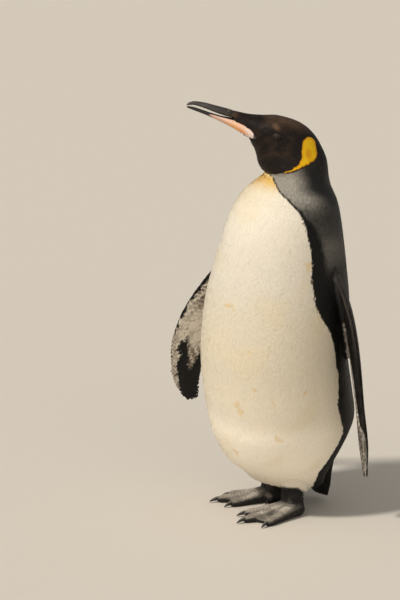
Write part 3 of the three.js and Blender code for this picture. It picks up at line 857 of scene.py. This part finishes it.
def make_skin(finder):
    """One skin over all the flesh: its solids fused, smoothed, and drawn in by the coat's depth."""
    mesh = fused_flesh()
    count = len(mesh.vertices)
    places = read(mesh.vertices, "co", 3)
    edges = read(mesh.edges, "vertices", 2, int)
    degree = np.bincount(edges.ravel(), minlength=count)
    tree, labels, ts, angles = finder
    nearest = np.array([tree.find(p)[1] for p in places])
    label, t, angle = labels[nearest], ts[nearest], angles[nearest]
    names = [stretch[0] for stretch in STRETCHES] + ["foot"]

    # Smoothed more where the shape is broad, and drawn in where feathers will lie over it.
    rounds, depth = np.zeros(count), np.zeros(count)
    for k, name in enumerate(names):
        mine = label == k
        if name == "body":
            rounds[mine] = table(BODY_ROUNDS, t[mine])
        else:
            rounds[mine] = OTHER_ROUNDS[name.split("_")[0]]
        if name != "foot":
            depth[mine] = coat_depth(name, t[mine]) + SKIN_ROOM
    depth = depth[:, None]
    for _ in range(4):
        rounds = neighbours_mean(rounds[:, None], edges, degree)[:, 0]
        depth = neighbours_mean(depth, edges, degree)
    for step in range(14):
        share = np.clip(rounds - step, 0, 1)[:, None] * 0.6
        places += (neighbours_mean(places, edges, degree) - places) * share
    mesh.vertices.foreach_set("co", places.ravel())
    mesh.update()
    normals = read(mesh.vertices, "normal", 3)
    places -= normals * depth * MM
    height = places[:, 2]
    ankle = smooth(height, 0.020, 0.028) * until(height, 0.05, 0.058) * (label == FOOT)
    folds = np.sin(height / MM * 2 * math.pi / ANKLE_FOLD + 1.6 * wobble(places / MM, 14, 74))
    places += normals * (ankle * folds * 0.7 * MM)[:, None]
    places[:, 2] = np.maximum(places[:, 2], 0.0002)
    mesh.vertices.foreach_set("co", places.ravel())
    mesh.update()

    colours = np.zeros((count, 3))
    for k, name in enumerate(names):
        mine = label == k
        if name == "foot":
            colours[mine] = foot_colours(places[mine] / MM, normals[mine, 2])
        else:
            colours[mine] = colours_on(name, t[mine], angle[mine], places[mine] / MM)
    paint_corners(mesh, colours)

    bm = bmesh.new()
    bm.from_mesh(mesh)
    for side in (1, -1):
        eyelid(bm, side, bm.verts.layers.float_color["plumage"])
    bm.verts.index_update()
    lids = [f for f in bm.faces if all(v.index >= count for v in f.verts)]
    bmesh.ops.recalc_face_normals(bm, faces=lids)
    for face in bm.faces:
        ids = [v.index for v in face.verts]
        face.material_index = int(all(i < count and label[i] == FOOT for i in ids))
    bm.to_mesh(mesh)
    bm.free()
    shaded(mesh)
    mesh.materials.append(DOWNY_SKIN)
    mesh.materials.append(FOOT_SKIN)
    skin = link(bpy.data.objects.new("skin", mesh))
    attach(skin, "root")
    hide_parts(*FLESH)
    return skin


# ---- Feathers and scales -------------------------------------------------------------------

ROOF = 0.04     # how much a vane bends down to its edges, as a share of its width
ROLL = 0.03     # how much vanes roll to one side or the other, in the same way
GATHER = 0.5    # how far a vane's colours are drawn together to that of its own end
PALE, BLACK = 0.3, 0.12  # the brightness above which a feather is white, and below which black
BAKE_PATCH = 0.003       # how much of the unwrapped coat each vane takes up
# Feathers on the body by row, in millimetres: how far apart, and how long.
BODY_SPACING = [(0, 2.7), (2, 3.0), (12, 3.1), (14, 2.6), (16, 1.95), (18, 1.6), (20, 1.4),
                (22, 1.25)]
BODY_LENGTH = [(0, 12), (2, 15), (10, 14.5), (13, 12), (15, 8.8), (17, 6.2), (19, 5.0), (21, 4.0),
               (22, 3.4)]
BODY_WIDTH = [(0, 0.36), (12, 0.38), (16, 0.42), (20, 0.46)]  # as shares of the length
HEAD_FROM = 15.6   # the row where the body's coat ends and the head's starts
FLANKS = 1.05, 2.1  # the angles between which a flank lies
FLIPPER_SPACING = [(0, 2.6), (2, 2.2), (7, 1.8)]
FLIPPER_LENGTH = [(0, 10), (2, 7), (7, 5.2)]
LEG_LENGTH = [(0, 15), (3.3, 9.5)]
TAIL_LENGTH = [(0, 22), (4, 26)]
TAIL_CLEAR = 14    # the height above the floor where the tail's longest feathers end
BILL_CLEAR = 0.0004      # metres off the bill's horn, nearer than which no feather grows


def vane_grid(columns, rows):
    """One vane's corners as (across -1 to 1, along 0 to 1), and its faces."""
    bm = bmesh.new()
    bmesh.ops.create_grid(bm, x_segments=columns, y_segments=rows, size=1)
    bm.verts.index_update()
    corners = np.array([(v.co.x, (v.co.y + 1) / 2) for v in bm.verts])
    faces = np.array([[v.index for v in f.verts] for f in bm.faces])
    bm.free()
    return corners, faces


def slopes(surface, t, angle):
    """How a surface runs with its row and with its angle."""
    step = 1e-3
    return ((surface(t + step, angle) - surface(t - step, angle)) / (2 * step),
            (surface(t, angle + step) - surface(t, angle - step)) / (2 * step))


def outwards(surface, t, angle):
    """The direction straight out of a surface."""
    down, round_ = slopes(surface, t, angle)
    out = unit(np.cross(down, round_))
    place = surface(t, angle)
    middle = (place + surface(t, angle + math.pi)) / 2
    return out * np.where(np.sum((place - middle) * out, axis=1) < 0, -1, 1)[:, None]


def thinned(places, room):
    """Which places stay: one that crowds an earlier one goes, unless a later one restores it."""
    tree = tree_of(places)
    left = np.ones(len(places), bool)
    for i, place in enumerate(places):
        if left[i]:
            for _, j, _ in tree.find_range(place, room[i]):
                left[j] = j <= i
    return left


def sow(surface, low, high, spacing, seed):
    """Rows and angles of roots scattered evenly over a surface, few much nearer than spacing."""
    rng = np.random.default_rng(seed)

    def crowding(t, angle):
        patch = np.linalg.norm(np.cross(*slopes(surface, t, angle)), axis=1)
        return patch / (spacing(t, angle) * SPARSE) ** 2

    # Five times as many tries as there is room for, kept by how close they may be, then thinned.
    span = np.array([high - low, 2 * math.pi])
    trial = crowding(*(rng.random((6000, 2)) * span + (low, -math.pi)).T)
    most = trial.max() * 1.03
    t, angle = (rng.random((int(5 * most * span.prod()), 2)) * span + (low, -math.pi)).T
    keep = rng.random(len(t)) < crowding(t, angle) / most
    t, angle = t[keep], angle[keep]
    left = thinned(surface(t, angle), spacing(t, angle) * SPARSE * 0.83)
    return t[left], angle[left]


def plant(surface, t, angle, last, length, lie, seed, stray=5.0):
    """Each feather's root, which way it lies, which way is outwards, its row and angle, and how
    they change along and across it."""
    rng = np.random.default_rng(seed)
    root = surface(t, angle)
    down, round_ = slopes(surface, t, angle)
    outward = outwards(surface, t, angle)
    speed = np.maximum(np.linalg.norm(down, axis=1), 1e-6)
    end = np.clip(t + lie * length / speed, 0, last)
    reach = surface(end, angle) - root
    far = np.linalg.norm(reach, axis=1) > 0.6 * length
    along = unit(np.where(far[:, None], reach, down * lie))
    side = unit(np.cross(along, outward))
    swing = np.radians(rng.normal(0, stray, len(t)))[:, None]
    along = along * np.cos(swing) + side * np.sin(swing)
    outward = unit(np.cross(np.cross(along, outward), along))
    side = np.cross(along, outward)
    row_rate = lie / speed
    angle_rate = np.sum(round_ * side, axis=1) / np.sum(round_ * round_, axis=1)
    return root, along, outward, t, angle, row_rate, angle_rate


def paint_corners(mesh, colours):
    """Gives a mesh its markings, a colour for each corner."""
    paint = mesh.color_attributes.new("plumage", "FLOAT_COLOR", "POINT")
    colours = colours.reshape(-1, 3)
    paint.data.foreach_set("color", np.c_[colours, np.ones(len(colours))].ravel())


def unwrap_corners(mesh, name, places):
    mesh.uv_layers.new(name=name).data.foreach_set("uv", places.ravel())


def bake_places(unwrapped, own):
    """A small patch of the unwrapped coat for each vane or scale, at its root's place."""
    return unwrapped[:, None] * 0.99 + 0.005 + (own - 0.5) * BAKE_PATCH


def grow(name, surface, last, paint, vane, outline, planted, length, width, depth, top,
         unwrapped, seed):
    """One piece of coat: a vane at every root, its root sunk by depth and its tip near the top."""
    rng = np.random.default_rng(seed)
    root, along, outward, t, angle, row_rate, angle_rate = planted
    (corners, faces), count = vane, len(root)
    side = np.cross(along, outward)
    length = length * rng.uniform(0.88, 1.1, count)
    width = width * rng.uniform(0.9, 1.1, count)
    u, v = corners.T
    wide = table(outline, v)
    rise = -depth[:, None] + (depth - top * rng.uniform(0.3, 1.3, count))[:, None] * v ** 0.85
    rise = rise - ROOF * width[:, None] * (u * wide) ** 2
    rise = rise + (rng.normal(0, ROLL, count) * width)[:, None] * u * wide
    ahead = v * length[:, None]
    beside = u * wide * width[:, None] / 2
    points = (root[:, None] + along[:, None] * ahead[..., None] + side[:, None] * beside[..., None]
              + outward[:, None] * rise[..., None])

    # Each corner's colour lies part of the way to that of the feather's own shown end.
    far = ahead * (1 - GATHER) + 0.7 * GATHER * length[:, None]
    off = beside * (1 - GATHER)
    rows = np.clip(t[:, None] + row_rate[:, None] * far, 0, last).ravel()
    turns = (angle[:, None] + angle_rate[:, None] * off).ravel()
    spots = root[:, None] + along[:, None] * far[..., None] + side[:, None] * off[..., None]
    colours = paint(rows, turns, spots.reshape(-1, 3)).reshape(count, len(corners), 3)
    light = (colours @ (0.2126, 0.7152, 0.0722)).mean(axis=1)
    pale = light > PALE
    # A vane is darker at its root, and no two are quite alike; less so on the white.
    tone = 1 + np.where(pale, 0.05, 0.18)[:, None] * np.interp(v, [0, 0.55, 1], [-1, -0.1, 0.9])
    tone = tone * (1 + rng.normal(0, 1, count) * np.where(pale, 0.012, 0.08))[:, None]

    # The plumage is sleek, so its shading follows the body more than each vane, most on the white.
    near = np.clip(t[:, None] + row_rate[:, None] * ahead, 0, last).ravel()
    sleek = outwards(surface, near, (angle[:, None] + angle_rate[:, None] * beside).ravel())
    sway = rng.normal(0, 0.03, (count, 1, 3)) * np.where(pale, 1, 2)[:, None, None]
    lean = side[:, None] * (u * wide * 0.10)[None, :, None] + along[:, None] * 0.04 + sway
    lean = lean * np.where(pale, 0.5, 1.0)[:, None, None]
    normals = unit(sleek.reshape(count, -1, 3) + lean)

    mesh = bpy.data.meshes.new(name)
    size, sides = len(corners), faces.shape[1]
    mesh.vertices.add(count * size)
    mesh.vertices.foreach_set("co", points.ravel() * MM)
    loops = (faces.ravel() + np.arange(count)[:, None] * size).ravel()
    mesh.loops.add(len(loops))
    mesh.loops.foreach_set("vertex_index", loops)
    polygons = count * len(faces)
    mesh.polygons.add(polygons)
    mesh.polygons.foreach_set("loop_start", np.arange(polygons) * sides)
    mesh.polygons.foreach_set("loop_total", np.full(polygons, sides))
    black = (light < BLACK).astype(int)
    mesh.polygons.foreach_set("material_index", np.repeat(black, len(faces)))
    mesh.update(calc_edges=True)
    paint_corners(mesh, colours * tone[..., None])
    own = np.c_[(u + 1) / 2, v]
    unwrap_corners(mesh, "Vane", np.tile(own[faces.ravel()], (count, 1)))
    unwrap_corners(mesh, "OFBake", bake_places(unwrapped, own)[:, faces.ravel()])
    mesh.materials.append(CREAM_FEATHERS)
    mesh.materials.append(DARK_FEATHERS)
    shaded(mesh)
    mesh.normals_split_custom_set_from_vertices(normals.reshape(-1, 3))
    coat = link(bpy.data.objects.new(name, mesh))
    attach(coat, "root")
    return coat


def fit(values):
    """Values stretched to run from 0 to 1."""
    return (values - values.min()) / max(np.ptp(values), 1e-9)


def pick(arrays, keep):
    """The kept rows of several arrays."""
    return tuple(array[keep] for array in arrays)


BODY_VANE = vane_grid(2, 3)
SMALL_VANE = vane_grid(2, 2)
# Widths along a vane, as shares of its width: contour feathers, small blunt ones, tail feathers.
CONTOUR = [(0, 0.4), (0.33, 0.95), (0.67, 1.0), (1, 0.2)]
BLUNT = [(0, 0.5), (0.5, 1.0), (1, 0.3)]
STIFF = [(0, 0.6), (0.33, 1), (0.67, 0.95), (1, 0.15)]

finder = place_finder()
skin = make_skin(finder)
SKIN_TREE = BVHTree.FromPolygons(
    [v.co[:] for v in skin.data.vertices], [p.vertices[:] for p in skin.data.polygons])
EYES = {side: eye_frame(side) for side in (1, -1)}


def bill_tree():
    bm = bmesh.new()
    for name in ("bill_upper", "bill_lower"):
        bm.from_mesh(SOLIDS[name].data)
    tree = BVHTree.FromBMesh(bm)
    bm.free()
    return tree


BILL_TREE = bill_tree()


def on_show(planted, room):
    """Which roots lie on the outer skin, off the eyes and out of the bill."""
    root, _, outward = planted[:3]
    keep = np.ones(len(root), bool)
    for i, (p, lie) in enumerate(zip(root * MM, outward)):
        place, normal, _, away = SKIN_TREE.find_nearest(p, 0.02)
        keep[i] = place is not None and away <= room[i] * MM and normal.dot(Vector(lie)) >= 0.2
    for i in np.flatnonzero((root[:, 2] > 600) & keep):
        place, normal, _, _ = BILL_TREE.find_nearest(root[i] * MM, 0.01)
        if place is not None and (Vector(root[i] * MM) - place).dot(normal) < BILL_CLEAR:
            keep[i] = False
    for middle, looks in EYES.values():
        off = root - middle / MM
        front, up = eye_slant(looks)
        opening = np.hypot(off @ front / 6.9, off @ up / 5.0) < 1
        keep &= ~(opening & (np.linalg.norm(off, axis=1) < 15))
    # None under the lower bill, where bare horn shows.
    ahead, _, height = head_plane(root)
    under = table([(g, low) for g, _, low, _ in BILL_LOWER], ahead)
    return keep & ~((ahead > 84) & (height > 672) & (height < under + 3))


def run_along(surface, low, high):
    """How far along a surface each row is, from 0 to 1, for the unwrap."""
    t = np.linspace(low, high, 200)
    lines = [surface(t, np.full(200, a)) for a in (0.0, math.pi / 2, math.pi, -math.pi / 2)]
    steps = [np.linalg.norm(np.diff(line, axis=0), axis=1) for line in lines]
    run = np.mean([np.r_[0, np.cumsum(step)] for step in steps], axis=0)
    return lambda at: np.interp(at, t, run / run[-1])


def throat_crease(t, angle):
    """1 in the crease where throat meets breast, 0 elsewhere."""
    return np.exp(-((t - 14.4) / 0.8) ** 2) * smooth(np.cos(angle), 0, 0.7)


def body_spacing(t, angle):
    return table(BODY_SPACING, t) * (1 - 0.3 * throat_crease(t, angle))


def skirt(t):
    """1 where the feathers hang past the belly's lower rim, 0 elsewhere."""
    return until(t, 1.7, 3.4) * smooth(t, 0.9, 1.4)


def body_length(t, angle):
    length = table(BODY_LENGTH, t) * (1 - 0.55 * throat_crease(t, angle))
    return length * (1 + (0.12 - 0.28 * np.cos(angle)) * skirt(t))


def clothe_body():
    """The coat of trunk, neck and head, in sectors round the bird."""
    t, angle = sow(on_body, 0.05, TOP_ROW - 0.03, body_spacing, 11)
    length = body_length(t, angle)
    root, along, outward, *rates = plant(on_body, t, angle, TOP_ROW, length, -1, 12)
    hang = 0.8 * skirt(t)[:, None]
    along = unit(along * (1 - hang) + np.array([0, 0, -1.0]) * hang)
    outward = unit(outward - along * np.sum(outward * along, axis=1)[:, None])
    planted = (root, along, outward, *rates)
    depth = coat_depth("body", t)
    keep = on_show(planted, depth + 2.2)
    t, angle, length, depth = pick((t, angle, length, depth), keep)
    planted = pick(planted, keep)
    width = length * table(BODY_WIDTH, t)
    climb = run_along(on_body, 0, TOP_ROW)
    angle = wrapped(angle)
    body = t <= HEAD_FROM
    front, rear = FLANKS
    sectors = [
        ("coat_belly_left", "white_feathers", body & (angle > 0) & (angle <= front)),
        ("coat_belly_right", "white_feathers", body & (angle <= 0) & (angle > -front)),
        ("coat_flank_left", "white_feathers", body & (angle > front) & (angle <= rear)),
        ("coat_flank_right", "white_feathers", body & (angle <= -front) & (angle > -rear)),
        ("coat_back_left", "grey_feathers", body & (angle > rear)),
        ("coat_head", "black_feathers", ~body),
        ("coat_back_right", "grey_feathers", body & (angle <= -rear)),
    ]
    for k, (name, slot, mine) in enumerate(sectors):
        unwrapped = np.c_[fit(angle[mine]), fit(climb(t[mine]))]
        vane, outline, sunk = BODY_VANE, CONTOUR, 0.6
        if name == "coat_head":
            vane, outline, sunk = SMALL_VANE, BLUNT, 1.0
        grow(name, on_body, TOP_ROW, body_colours, vane, outline, pick(planted, mine),
             length[mine], width[mine], depth[mine] * sunk, 0.3, unwrapped, 30 + k)


def clothe_flipper(side):
    surface = ON_FLIPPER[side]
    t, angle = sow(surface, 0.1, 6.97, lambda t, _: table(FLIPPER_SPACING, t), 21)
    length = table(FLIPPER_LENGTH, t) * (1 - 0.12 * smooth(np.abs(np.sin(angle)), 0.93, 1))
    planted = plant(surface, t, angle, LAST_FLIPPER, length, 1, 22, stray=4.0)
    depth = coat_depth("flipper", t)
    keep = on_show(planted, depth + 2.4)
    t, angle, length, depth = pick((t, angle, length, depth), keep)

    def paint(rows, turns, points):
        return flipper_colours(rows, turns, points, side)

    run = run_along(surface, 0, LAST_FLIPPER)(t)
    unwrapped = np.c_[fit((angle + math.pi) % (2 * math.pi)), fit(run)]
    grow(f"coat_flipper_{side}", surface, LAST_FLIPPER, paint, SMALL_VANE,
         BLUNT, pick(planted, keep), length, length * 0.46, depth, 0.2, unwrapped, 23)


def clothe_leg(side):
    """Soft feathers that hang over the ankle in an uneven hem."""
    surface = ON_LEG[side]
    t, angle = sow(surface, 0.0, 3.3, lambda t, _: np.full(len(t), 2.3), 41)
    length = table(LEG_LENGTH, t)
    planted = plant(surface, t, angle, LAST_LEG, length, 1, 42, stray=9.0)
    keep = planted[0][:, 2] > leg_hem(angle) + 5
    t, angle, length = pick((t, angle, length), keep)
    grow(f"coat_leg_{side}", surface, LAST_LEG, leg_colours, BODY_VANE, CONTOUR,
         pick(planted, keep), length, length * 0.3, coat_depth("leg", t), -0.2,
         np.c_[fit(angle), fit(t)], 43)


def clothe_tail():
    """Short coverts over long stiff tail feathers."""
    t, angle = sow(on_tail, 0.05, 3.9, lambda t, _: np.full(len(t), 2.9), 51)
    length = table(TAIL_LENGTH, t)
    planted = plant(on_tail, t, angle, LAST_TAIL, length, 1, 52, stray=3.0)
    over_floor = planted[0][:, 2] + planted[1][:, 2] * length - TAIL_CLEAR
    length = np.where(over_floor < 0, np.maximum(length + over_floor, 5), length)
    depth = coat_depth("tail", t)
    keep = on_show(planted, depth + 4.0)
    t, angle, length, depth = pick((t, angle, length, depth), keep)
    grow("coat_tail", on_tail, LAST_TAIL, tail_colours, BODY_VANE, STIFF,
         pick(planted, keep), length, length * 0.17, depth, 0.1, np.c_[fit(angle), fit(t)], 53)


def clothe_foot(side):
    """Small domed scales over the top and sides of a foot, broad ones across its toes."""
    name = f"scales_{side}"
    middle = on_foot(side, 60, 0, 0) * MM

    def on_this_foot(centres):
        near = np.linalg.norm(centres[:, :2] - middle[:2], axis=1) < 0.085
        return near & (centres[:, 2] < 0.05)

    roots, outward = mesh_samples(skin.data, 14000, 61, on_this_foot)
    roots, outward = pick((roots, outward), outward[:, 2] > -0.35)
    rng = np.random.default_rng(62)
    off_axis, _, ways = toe_places(roots / MM)
    room = np.where(off_axis < 5, 2.3, 2.0) * MM * SPARSE
    roots, outward, ways, off_axis = pick((roots, outward, ways, off_axis), thinned(roots, room))
    count, on_toe = len(roots), off_axis < 5
    ahead = np.c_[ways, np.zeros(count)]
    ahead = unit(ahead - outward * np.sum(ahead * outward, axis=1)[:, None] + 1e-9)
    across = np.cross(outward, ahead)

    # Each scale is a low cone: its top, then the six corners of its rim.
    size = np.where(on_toe, 1.5, 1.25) * rng.uniform(0.85, 1.15, count) * MM * SPARSE
    turns = np.arange(6) * math.pi / 3
    wide = np.where(on_toe, 1.25, 1.0)
    rim = (roots[:, None] - outward[:, None] * 0.12 * MM
           + ahead[:, None] * (np.cos(turns) * size[:, None])[..., None] * 0.95
           + across[:, None] * (np.sin(turns) * (size * wide)[:, None])[..., None])
    tops = roots + outward * (0.34 * MM * rng.uniform(0.7, 1.2, count))[:, None]
    points = np.concatenate([tops[:, None], rim], axis=1)
    points[..., 2] = np.maximum(points[..., 2], 0.0003)
    colours = foot_colours(roots / MM, outward[:, 2]) * rng.uniform(0.75, 1.2, count)[:, None]
    colours = np.repeat(colours[:, None], 7, axis=1)
    colours[:, 1:] *= 0.5
    faces = np.array([(0, k + 1, (k + 1) % 6 + 1) for k in range(6)])
    mesh = bpy.data.meshes.new(name)
    mesh.from_pydata(points.reshape(-1, 3).tolist(), [],
                     (faces[None] + np.arange(count)[:, None, None] * 7).reshape(-1, 3).tolist())
    paint_corners(mesh, colours)
    own = np.r_[[(0.5, 0.5)], np.c_[np.cos(turns), np.sin(turns)] * 0.5 + 0.5]
    unwrapped = np.c_[fit(roots[:, 0]), fit(roots[:, 1])]
    unwrap_corners(mesh, "OFBake", bake_places(unwrapped, own)[:, faces.ravel()])
    mesh.materials.append(FOOT_SCALES)
    shaded(mesh)
    scales = link(bpy.data.objects.new(name, mesh))
    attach(scales, "root")


clothe_body()
for scaled_side in FEET:
    clothe_foot(scaled_side)
for flipper_side in FLIPPERS:
    clothe_flipper(flipper_side)
for leg_side in FEET:
    clothe_leg(leg_side)
clothe_tail()

# ---- Bill, eyes, claws ---------------------------------------------------------------------


def tube(name, surface, rows, corners, paint, finish):
    """A closed horn: a flat grid rolled up, given its place by surface(along, angle) and closed."""
    bm = bmesh.new()
    layer = bm.verts.layers.float_color.new("plumage")
    bmesh.ops.create_grid(bm, x_segments=rows, y_segments=corners, size=1)
    verts = list(bm.verts)
    along = np.array([(v.co.x + 1) / 2 for v in verts])
    angle = np.array([v.co.y * math.pi for v in verts])
    places = surface(along, angle)
    tints = paint(along, angle, places)
    for vert, place, tint in zip(verts, places, tints):
        vert.co = place * MM
        vert[layer] = (*tint, 1)
    bmesh.ops.remove_doubles(bm, verts=bm.verts, dist=2e-6)
    bmesh.ops.holes_fill(bm, edges=[e for e in bm.edges if e.is_boundary], sides=0)
    bmesh.ops.recalc_face_normals(bm, faces=bm.faces)
    piece = piece_of(bm, name, finish)
    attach(piece, "root")
    return piece


def rounded_tip(along):
    """Draws the last of a horn in to a rounded point."""
    return np.sqrt(np.clip(1 - (np.clip(along - 0.965, 0, 1) / 0.035) ** 2, 1e-6, 1))


def upper_surface(along, angle):
    t = along * (len(BILL_UPPER) - 1)
    g, top, under, half = through(BILL_UPPER, t).T
    c, s = np.cos(angle) * rounded_tip(along), np.sin(angle) * rounded_tip(along)
    ridge = 1 + 0.10 * np.clip(c, 0, 1) ** 6          # the ridge along the top
    groove = 1 - 0.05 * np.exp(-((c - 0.35) / 0.16) ** 2)  # the groove from the nostril
    z = (top + under) / 2 + c * (top - under) / 2 * ridge
    return turned(g, s * half * groove, z, HEAD_TURN)


def upper_paint(along, angle, places):
    """Black horn, feather-dark at its root, greyer at the sides, worn at the base, with streaks of
    painted highlight along its outer part.
    """
    colours = over(HOOD, HORN_BLACK, smooth(along, 0.12, 0.3))
    side = np.clip(np.abs(np.sin(angle)), 0, 1)
    colours = over(colours, HORN_GREY, 0.6 * side * smooth(along, 0.15, 0.5))
    slit = np.exp(-((np.cos(angle) - 0.33) / 0.11) ** 2) * smooth(along, 0.13, 0.2)
    slit = slit * until(along, 0.3, 0.62)
    colours = over(colours, HORN_SLIT, 0.8 * slit)
    base = smooth(along, 0.04, 0.1) * until(along, 0.2, 0.34)
    base = base * smooth(wobble(places, 5, 81), -0.6, 0.8)
    colours = over(colours, HORN_WORN, 0.5 * base)
    stretched = np.stack([along * 130, np.cos(angle) * 9, np.sin(angle) * 9], -1) * (0.3, 1, 1)
    horn_highlights = 0.3 * smooth(wobble(stretched, 3.5, 82), 0.3, 1.4) * smooth(along, 0.3, 0.5)
    return over(colours, HORN_HIGHLIGHT, horn_highlights)


# The coloured plate's upper and lower edges, as (forward of the neck's axis, height).
PLATE_TOP = [(75, 689.6), (84, 700.5), (97, 708), (114, 717), (137, 723), (150, 727.2),
             (160, 729.5)]
PLATE_FOOT = [(75, 682), (84, 685), (97, 691), (116, 703), (137, 714), (150, 720.5),
              (160, 728)]


def plate_share(g, z):
    """1 on the coloured plate at the side of the lower bill, 0 off it."""
    high = table(PLATE_TOP, g) - z
    low = z - table(PLATE_FOOT, g)
    return smooth(np.minimum(high, low), -0.3, 0.5) * until(g, 157, 160) * smooth(g, 82, 84.5)


def lower_surface(along, angle):
    t = along * (len(BILL_LOWER) - 1)
    g, top, under, half = through(BILL_LOWER, t).T
    c, s = np.cos(angle) * rounded_tip(along), np.sin(angle) * rounded_tip(along)
    z = (top + under) / 2 + c * (top - under) / 2
    raised = plate_share(g, z) * 0.5
    return turned(g, s * (half + raised - 0.25), z, HEAD_TURN)


def lower_paint(along, angle, places):
    """Black horn with the plate's pink and orange."""
    g, _, z = head_plane(places)
    plate = over(PLATE_REAR, PLATE_MIDDLE, smooth(g, 88, 104))
    plate = over(plate, PLATE_FRONT, smooth(g, 112, 142))
    plate = over(plate, PLATE_REAR, 0.5 * smooth(z - table(PLATE_FOOT, g), 3, 9))
    blotch = np.hypot((g - 104) / 15, (z - 697 - 0.5 * (g - 104)) / 6)
    plate = over(plate, PLATE_DEEP, 0.8 * (1 - smooth(blotch, 0, 1)))
    return over(HORN_BLACK, plate, plate_share(g, z))


bill_upper = tube("bill_upper_horn", upper_surface, 90, 40, upper_paint, BILL_HORN)
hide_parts("bill_upper")
bill_lower = tube("bill_lower_plate", lower_surface, 120, 56, lower_paint, BILL_HORN)
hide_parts("bill_lower")


def eyeball(side):
    """A ball with a slightly raised cornea, its pupil and iris round the way it looks."""
    name = "left" if side > 0 else "right"
    middle, outward = EYES[side]
    bm = bmesh.new()
    layer = bm.verts.layers.float_color.new("plumage")
    bmesh.ops.create_uvsphere(bm, u_segments=40, v_segments=28, radius=EYE_RADIUS * MM)
    turn = Vector((0, 0, 1)).rotation_difference(Vector(outward)).to_matrix()
    for vert in bm.verts:
        away = math.hypot(vert.co.x, vert.co.y) / MM
        tint = EYE_RIM
        if vert.co.z > 0:
            tint = mix(PUPIL, IRIS, smooth(away, 2.0, 2.5))
            tint = mix(tint, EYE_RIM, smooth(away, 4.0, 4.9))
            vert.co.z += 0.5 * MM * math.exp(-((away / 3.6) ** 2))
        vert[layer] = (*tint, 1)
        vert.co = turn @ vert.co + Vector(middle)
    ball = piece_of(bm, f"eyeball_{name}", WET_EYE)
    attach(ball, "root")
    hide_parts(f"eye_{name}")


for eye_side in EYES:
    eyeball(eye_side)


def claw(side, toe):
    """The claw's solid, rounded off, dark with a painted highlight on its upward-facing ridge."""
    node = f"claw_{side}_{toe}"
    bm = bmesh.new()
    bm.from_mesh(SOLIDS[node].data)
    bmesh.ops.remove_doubles(bm, verts=bm.verts, dist=1e-6)
    bmesh.ops.subdivide_edges(bm, edges=bm.edges, cuts=1, use_grid_fill=True)
    for _ in range(3):
        bmesh.ops.smooth_vert(bm, verts=bm.verts, factor=0.4,
                              use_axis_x=True, use_axis_y=True, use_axis_z=True)
    layer = bm.verts.layers.float_color.new("plumage")
    for vert in bm.verts:
        # Painted highlight: paler where the claw faces up.
        vert[layer] = (*mix(CLAW_DARK, CLAW_HIGHLIGHT, smooth(vert.normal.z, 0.5, 0.95)), 1)
    piece = piece_of(bm, f"{node}_horn", CLAW_HORN)
    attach(piece, "root")
    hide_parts(node)


for foot_side in FEET:
    for toe_name in TOES:
        claw(foot_side, toe_name)

# ---- Floor, light and camera ---------------------------------------------------------------

FLOOR_CARD = linear("#d2cabf")
VIEW = 57, 14    # the camera, in degrees round from the front and up
DISTANCE = 5.5
AIM_HEIGHT = 390.0
AIM_ASIDE = 134.5  # how far to the camera's left of the bird's middle the aim lies

floor_bm = bmesh.new()
bmesh.ops.create_grid(floor_bm, x_segments=1, y_segments=1, size=6)
floor_mesh = bpy.data.meshes.new("floor")
floor_bm.to_mesh(floor_mesh)
floor_bm.free()
# Pale matt card.
floor_paper, _, floor_shader = material("pale_matt_card", Roughness=0.9)
floor_shader.inputs["Base Color"].default_value = (*FLOOR_CARD, 1.0)
floor_mesh.materials.append(floor_paper)
floor = link(bpy.data.objects.new("floor", floor_mesh))

scene = bpy.context.scene
scene.view_settings.view_transform = "Standard"
world = bpy.data.worlds.new("studio")
scene.world = world
world.use_nodes = True
backdrop = world.node_tree.nodes["Background"]
backdrop.inputs["Color"].default_value = (0.95, 0.94, 0.91, 1)
backdrop.inputs["Strength"].default_value = 0.38

azimuth_of_view = math.radians(VIEW[0])
aside = np.array([math.cos(azimuth_of_view), math.sin(azimuth_of_view), 0])
AIM = Vector((np.array([0.0, 0.0, AIM_HEIGHT]) - AIM_ASIDE * aside + SHIFT) * MM)


def from_side(azimuth, elevation, distance):
    """A place seen from the aim at degrees round from the front and up."""
    a, e = math.radians(azimuth), math.radians(elevation)
    way = Vector((math.sin(a) * math.cos(e), -math.cos(a) * math.cos(e), math.sin(e)))
    return AIM + distance * way


def lamp(name, azimuth, elevation, softness, power, tint):
    """An even light from far away; softness is the angle that it fills, in degrees."""
    light = bpy.data.lights.new(name, "SUN")
    light.angle = math.radians(softness)
    light.energy = power
    light.color = linear(tint)
    obj = link(bpy.data.objects.new(name, light))
    obj.location = from_side(azimuth, elevation, 3.0)
    obj.rotation_euler = (AIM - obj.location).to_track_quat("-Z", "Y").to_euler()


lamp("key", -2, 50, 7, 2.5, "#fffaf1")
lamp("fill", 75, 30, 40, 0.25, "#fff3e0")
lamp("bounce", 25, 4, 45, 0.45, "#fff3e2")

lens = bpy.data.cameras.new("camera")
lens.sensor_fit = "VERTICAL"
lens.sensor_height = 36
lens.lens = 184.4
lens.clip_end = 50
camera = link(bpy.data.objects.new("camera", lens))
camera.location = from_side(*VIEW, DISTANCE)
camera.rotation_euler = (AIM - camera.location).to_track_quat("-Z", "Y").to_euler()
scene.camera = camera
